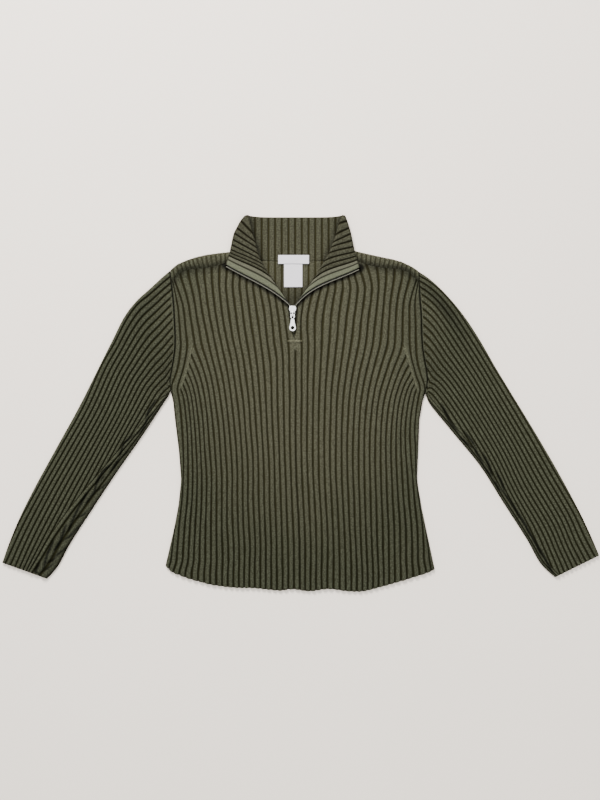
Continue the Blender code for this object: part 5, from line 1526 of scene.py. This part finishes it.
def knit_material(colours):
    """Ribbed cotton knit: two columns of V stitches on each rib, with painted shade in the groove
    between.

    A stitch is cos of 2 pi (v / course - slant * |s|), where s runs from -1 to 1 across
    its column; the groove is painted darker, as shade, as the rib's phase nears 0 or 1.
    Flecks of the yarn vary its colour, and the body's middle is warmer and paler than the
    sleeves and hem.
    """
    shader = Shader("knit")
    u, v = shader.uv()
    phase = u.of("FRACT")
    depth = 0.5 - (phase - 0.5).of("ABSOLUTE")
    wale = ((phase - WALE_START) * (2.0 / (WALE_END - WALE_START))).of("FRACT")
    across = (wale * 2.0 - 1.0).of("ABSOLUTE")
    ridge = depth.between(0.06, 0.17)
    stitch = ((v / COURSE - across * STITCH_SLANT) * TURN).of("COSINE") * 0.5 + 0.5
    loop = (1.0 - across * across).of("SQRT")
    fibre, fleck = shader.noise(FIBRE_SCALE, 3.0), shader.noise(FLECK_SCALE)
    height = ridge * (loop * 0.6 + stitch * 0.35) + fibre * 0.12

    plain, tone = shader.attribute("plain"), shader.attribute("tone")
    tint, dark, middle = knit_tints(shader, colours, fleck)
    speck = fleck.between(0.35, 0.65)
    # plain adds painted light to the chain, the tack and the lit shoulder strips
    light = 0.5 + speck * 0.54 + stitch * ridge * 0.12 + fibre * 0.2 + plain * 0.1
    # Towards the groove the colour goes to the painted groove shade
    open_rib = depth.between(0.0, 0.33 - middle * 0.05).of("MAXIMUM", plain)
    colour = shader.mix(open_rib, dark, shader.scaled(tint, light))
    # Painted shade from the tone attribute, and painted light where it is below 0
    colour = shader.scaled(colour, 1.0 - tone * 0.8)
    shader.set(Base_Color=colour, Roughness=0.94, Normal=shader.bump(height, STITCH_DEPTH, 0.8))
    shader.set(Sheen_Weight=0.02, Sheen_Roughness=0.5, Sheen_Tint=rgba(colours.knit_warm),
               Specular_IOR_Level=0.06)
    return shader.material


def facing_material(colours):
    """Twill tape: fine diagonal lines, with painted shade in the sunk line where it is sewn down and
    from the tone attribute.
    """
    shader = Shader("facing")
    u, v = shader.uv()
    line = 1.0 - (u - FACING_GROOVE).of("ABSOLUTE").between(0.045, 0.1)
    upper = 1.0 - u.between(FACING_GROOVE - 0.02, FACING_GROOVE)
    twill = ((v * 1.1 + u * 9.0) * TURN).of("SINE") * 0.5 + 0.5
    speck = shader.noise(FLECK_SCALE).between(0.3, 0.7)
    light = 0.7 + twill * 0.08 + shader.noise(1500.0) * 0.1 + speck * 0.36
    colour = shader.mix(upper, rgba(colours.facing), rgba(colours.facing_knit))
    colour = shader.scaled(colour, light)
    colour = shader.mix(line * 0.95, colour, rgba(colours.groove))
    colour = shader.mix(shader.attribute("tone") * 0.8, colour, rgba(colours.groove))
    shader.set(Base_Color=colour, Roughness=0.85, Normal=shader.bump(twill, 0.0002, 0.6))
    shader.set(Specular_IOR_Level=0.25)
    return shader.material


def tape_material(colours):
    """The zip's woven tape and moulded teeth."""
    shader = Shader("zip_tape")
    grain = shader.noise(1800.0)
    colour = shader.mix(shader.uv()[0].of("GREATER_THAN", 0.25), rgba(colours.teeth),
                        rgba(colours.tape))
    shader.set(Base_Color=shader.scaled(colour, 0.8 + grain * 0.4), Roughness=0.6)
    shader.set(Specular_IOR_Level=0.35)
    return shader.material


def metal_material(colours):
    """Bright plated metal with faint polishing marks."""
    shader = Shader("metal")
    marks = shader.noise(900.0, 3.0)
    shader.set(Base_Color=shader.scaled(colours.metal, 0.8 + marks * 0.3),
               Roughness=0.2 + marks * 0.12, Metallic=0.3)
    return shader.material


def label_material(colours):
    """White woven label: fine rows across it, blank."""
    shader = Shader("label")
    weave = (shader.uv()[1] * 2.2 * TURN).of("SINE") * 0.5 + 0.5
    light = 0.94 + weave * 0.03 + shader.noise(2400.0) * 0.05
    colour = shader.scaled(colours.label, light)
    shader.set(Base_Color=colour, Roughness=0.75, Normal=shader.bump(weave, 0.00012, 0.5))
    shader.set(Specular_IOR_Level=0.3)
    return shader.material


def floor_material(colours):
    """Plain pale floor."""
    shader = Shader("floor")
    colour = shader.scaled(colours.floor, 0.98 + shader.noise(3.0) * 0.04)
    shader.set(Base_Color=colour, Roughness=0.9, Specular_IOR_Level=0.15)
    return shader.material


MATERIALS = {
    "knit": knit_material, "facing": facing_material, "zip_tape": tape_material,
    "metal": metal_material, "label": label_material, "floor": floor_material,
}


def finish_of(name):
    """The material of that slot, made at its first use."""
    made = bpy.data.materials.get(FINISH + name)
    return made or MATERIALS[name](bpy.context.scene.sweater_colours)


# ------------------------------------------------------------------ sizes and colours

def millimetres(name, value, text):
    """A length property, given in millimetres."""
    return bpy.props.FloatProperty(name=name, description=text, default=value * MM,
                                   unit="LENGTH", precision=4)


def colour(name, value, text):
    """A colour property."""
    return bpy.props.FloatVectorProperty(name=name, description=text, default=value,
                                         size=3, subtype="COLOR", min=0.0, max=1.0)


class SweaterSizes(bpy.types.PropertyGroup):
    """Sizes of the knit and its folds."""

    rib_rise: millimetres("Rib rise", 3.0, "Height of a rib's crest above the groove")
    groove: millimetres("Groove height", 4.0, "Height of the front's grooves above the floor")
    lapel_rise: millimetres("Collar rib rise", 1.9, "Height of a rib on the turned-over collar")
    stand_rise: millimetres("Stand rib rise", 1.3, "Height of a rib inside the collar's stand")
    strip_rise: millimetres("Shoulder rib rise", 1.5, "Height of a rib on the shoulder strips")
    left_roll: millimetres("Left roll", 1.6, "Height of the fold beside the left sleeve's crease")
    right_roll: millimetres("Right roll", 0.9, "Height of the fold beside the right one's")
    label_wave: millimetres("Label wave", 0.25, "Unevenness of the labels")


class SweaterColours(bpy.types.PropertyGroup):
    """Colours of the garment and the floor."""

    knit: colour("Knit", (0.0345, 0.0348, 0.0205), "Ribs of the sleeves and hem")
    knit_warm: colour("Warm knit", (0.0495, 0.0465, 0.0285), "Ribs in the middle of the body")
    fleck: colour("Fleck", (0.058, 0.065, 0.045), "Paler yarn spun into the knit")
    # Painted shade: the grooves' colours stand for the shadow between the ribs
    groove: colour("Groove", (0.0078, 0.0073, 0.0016), "Grooves between the ribs")
    warm_groove_shade: colour("Warm groove", (0.0162, 0.0140, 0.0046), "Grooves of the body")
    facing: colour("Facing", (0.080, 0.083, 0.050), "Tape that covers the zip on the collar")
    facing_knit: colour("Facing knit", (0.068, 0.066, 0.042), "Knitted edge beside the tape")
    tape: colour("Zip tape", (0.008, 0.008, 0.005), "Tape edge under the zip's teeth")
    teeth: colour("Zip teeth", (0.19, 0.18, 0.135), "Moulded teeth")
    metal: colour("Metal", (0.93, 0.91, 0.88), "Slider and pull")
    label: colour("Label", (0.66, 0.62, 0.63), "Woven labels")
    floor: colour("Floor", (0.94, 0.83, 0.71), "Floor under the garment")


def dress(obj, nodes):
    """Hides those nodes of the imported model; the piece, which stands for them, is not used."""
    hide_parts(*nodes)


def cloth(obj):
    """Gives back the cloth piece as it is."""
    return obj


# ------------------------------------------------------------------ operators

class SweaterOperator:
    """What the operators share: undo, and the sizes in millimetres."""

    bl_options = {"REGISTER", "UNDO"}

    def size(self, name):
        """A size of the scene's own, in millimetres."""
        return getattr(bpy.context.scene.sweater_sizes, name) / MM


class SWEATER_OT_back(SweaterOperator, bpy.types.Operator):
    """Lay the back and the two strips that come over the shoulders"""

    bl_idname = "sweater.back"
    bl_label = "Back"

    def execute(self, context):
        knit = finish_of("knit")
        back = back_surface().build("back_panel", knit)
        strips = [shoulder_surface(side, self.size("strip_rise")).build("shoulder_" + side, knit)
                  for side in SIDES]
        for piece in (back, *strips):
            dress(piece, ["back"])
        cloth(back)
        for strip in strips:
            cloth(strip)
        return {"FINISHED"}


class SWEATER_OT_front(SweaterOperator, bpy.types.Operator):
    """Lay the front on the back"""

    bl_idname = "sweater.front"
    bl_label = "Front"

    def execute(self, context):
        surface = front_surface(self.size("rib_rise"), self.size("groove"))
        front = surface.build("front_panel", finish_of("knit"))
        dress(front, ["front"])
        cloth(front)
        return {"FINISHED"}


class SWEATER_OT_sleeves(SweaterOperator, bpy.types.Operator):
    """Lay both sleeves, each with the fold that runs down beside its inner edge"""

    bl_idname = "sweater.sleeves"
    bl_label = "Sleeves"

    def execute(self, context):
        for side, ribs in (("left", 3), ("right", 2)):
            surface = Sleeve(side, ribs).surface(self.size("rib_rise"), self.size(side + "_roll"))
            sleeve = surface.build("knit_sleeve_" + side, finish_of("knit"))
            dress(sleeve, ["sleeve_" + side])
            cloth(sleeve)
        return {"FINISHED"}


class SWEATER_OT_collar(SweaterOperator, bpy.types.Operator):
    """Set up the collar: its stand, the two fronts turned over and their facings"""

    bl_idname = "sweater.collar"
    bl_label = "Collar"

    def execute(self, context):
        knit = finish_of("knit")
        stand = stand_surface(self.size("stand_rise")).build("collar_stand", knit)
        dress(stand, ["collar"])
        cloth(stand)
        for side in SIDES:
            lapel = lapel_surface(side, self.size("lapel_rise")).build("lapel_" + side, knit)
            dress(lapel, ["collar"])
            facing = facing_surface(side).build("facing_" + side, finish_of("facing"))
            dress(facing, ["zip_facing_" + side])
            cloth(lapel)
        return {"FINISHED"}


class SWEATER_OT_zip(SweaterOperator, bpy.types.Operator):
    """Run the zip down the opening, with its slider and pull"""

    bl_idname = "sweater.zip"
    bl_label = "Zip"

    def execute(self, context):
        for side in SIDES:
            chain = chain_surface(side).build("chain_" + side, finish_of("zip_tape"))
            dress(chain, ["zip_chain_" + side])
        metal = finish_of("metal")
        dress(plates_object("zip_slider", slider_plates(), metal, GARMENT), ["slider"])
        dress(plates_object("pull_tab", pull_plates(), metal, PULL), ["zip_pull"])
        return {"FINISHED"}


class SWEATER_OT_labels(SweaterOperator, bpy.types.Operator):
    """Sew the blank labels inside the neck"""

    bl_idname = "sweater.labels"
    bl_label = "Labels"

    def execute(self, context):
        for name, sizes in (("neck_label", NECK_LABEL), ("care_label", CARE_LABEL)):
            surface = label_surface(sizes, self.size("label_wave"))
            label = surface.build("woven_" + name, finish_of("label"))
            dress(label, [name])
            cloth(label)
        return {"FINISHED"}


CAMERA_HEIGHT = 2.4
VIEW_HEIGHT = 1.5
VIEW_LEVEL = 0.005
VIEW_CENTRE = (0.0, 0.0047)
SENSOR = 24.0
FLOOR_SIZE = 6.0
LAMPS = (  # name, place, width and power
    ("key_light", (-0.8, 2.3, 2.0), 1.0, 210.0),
    ("fill_light", (0.7, -1.0, 3.2), 3.0, 60.0),
)
SKY_COLOUR, SKY_STRENGTH = (0.9, 0.95, 1.0, 1.0), 1.1


def new_floor():
    """A square floor at z = 0."""
    half = FLOOR_SIZE / 2
    corners = [(-half, -half, 0.0), (half, -half, 0.0), (half, half, 0.0), (-half, half, 0.0)]
    mesh = bpy.data.meshes.new("floor")
    mesh.from_pydata(corners, [], [(0, 1, 2, 3)])
    mesh.materials.append(finish_of("floor"))
    return bpy.data.objects.new("floor", mesh)


def new_camera():
    """A camera straight above, whose picture takes in the view's height at the cloth."""
    camera = bpy.data.cameras.new("camera")
    camera.sensor_fit = "VERTICAL"
    camera.sensor_height = SENSOR
    camera.lens = SENSOR * (CAMERA_HEIGHT - VIEW_LEVEL) / VIEW_HEIGHT
    above = bpy.data.objects.new("camera", camera)
    above.location = (*VIEW_CENTRE, CAMERA_HEIGHT)
    return above


def new_lamp(name, place, size, power):
    """A soft square lamp, turned towards the garment's middle."""
    light = bpy.data.lights.new(name, "AREA")
    light.size, light.energy = size, power
    lamp = bpy.data.objects.new(name, light)
    lamp.location = place
    lamp.rotation_euler = (-Vector(place)).to_track_quat("-Z", "Y").to_euler()
    return lamp


def new_sky():
    """Even pale light from all round."""
    world = bpy.data.worlds.new("studio")
    world.use_nodes = True
    sky = world.node_tree.nodes["Background"]
    sky.inputs["Color"].default_value = SKY_COLOUR
    sky.inputs["Strength"].default_value = SKY_STRENGTH
    return world


class SWEATER_OT_stage(SweaterOperator, bpy.types.Operator):
    """Set up the floor, the light and the camera above"""

    bl_idname = "sweater.stage"
    bl_label = "Stage"

    def execute(self, context):
        camera = new_camera()
        stage = [new_floor(), camera, *(new_lamp(*lamp) for lamp in LAMPS)]
        for obj in stage:
            context.scene.collection.objects.link(obj)
        context.scene.world = new_sky()
        context.scene.camera = camera
        return {"FINISHED"}


OPERATORS = (SWEATER_OT_back, SWEATER_OT_front, SWEATER_OT_sleeves, SWEATER_OT_collar,
             SWEATER_OT_zip, SWEATER_OT_labels, SWEATER_OT_stage)


class SWEATER_PT_panel(bpy.types.Panel):
    """Lists the pieces, the sizes and the colours."""

    bl_label = "Quarter Zip Sweater"
    bl_idname = "SWEATER_PT_panel"
    bl_space_type = "VIEW_3D"
    bl_region_type = "UI"
    bl_category = "Sweater"

    def draw(self, context):
        for group in (context.scene.sweater_sizes, context.scene.sweater_colours):
            column = self.layout.column()
            for name in group.__annotations__:
                column.prop(group, name)
        for operator in OPERATORS:
            self.layout.operator(operator.bl_idname)


CLASSES = (SweaterSizes, SweaterColours, *OPERATORS, SWEATER_PT_panel)


def register():
    """Add the classes, and the sizes and colours of a scene."""
    for entry in CLASSES:
        bpy.utils.register_class(entry)
    bpy.types.Scene.sweater_sizes = bpy.props.PointerProperty(type=SweaterSizes)
    bpy.types.Scene.sweater_colours = bpy.props.PointerProperty(type=SweaterColours)


def unregister():
    """Take them away again."""
    del bpy.types.Scene.sweater_colours
    del bpy.types.Scene.sweater_sizes
    for entry in reversed(CLASSES):
        bpy.utils.unregister_class(entry)


def main():
    """Build every piece in order."""
    register()
    for operator in OPERATORS:
        group, name = operator.bl_idname.split(".")
        getattr(getattr(bpy.ops, group), name)()


if __name__ == "__main__":
    main()
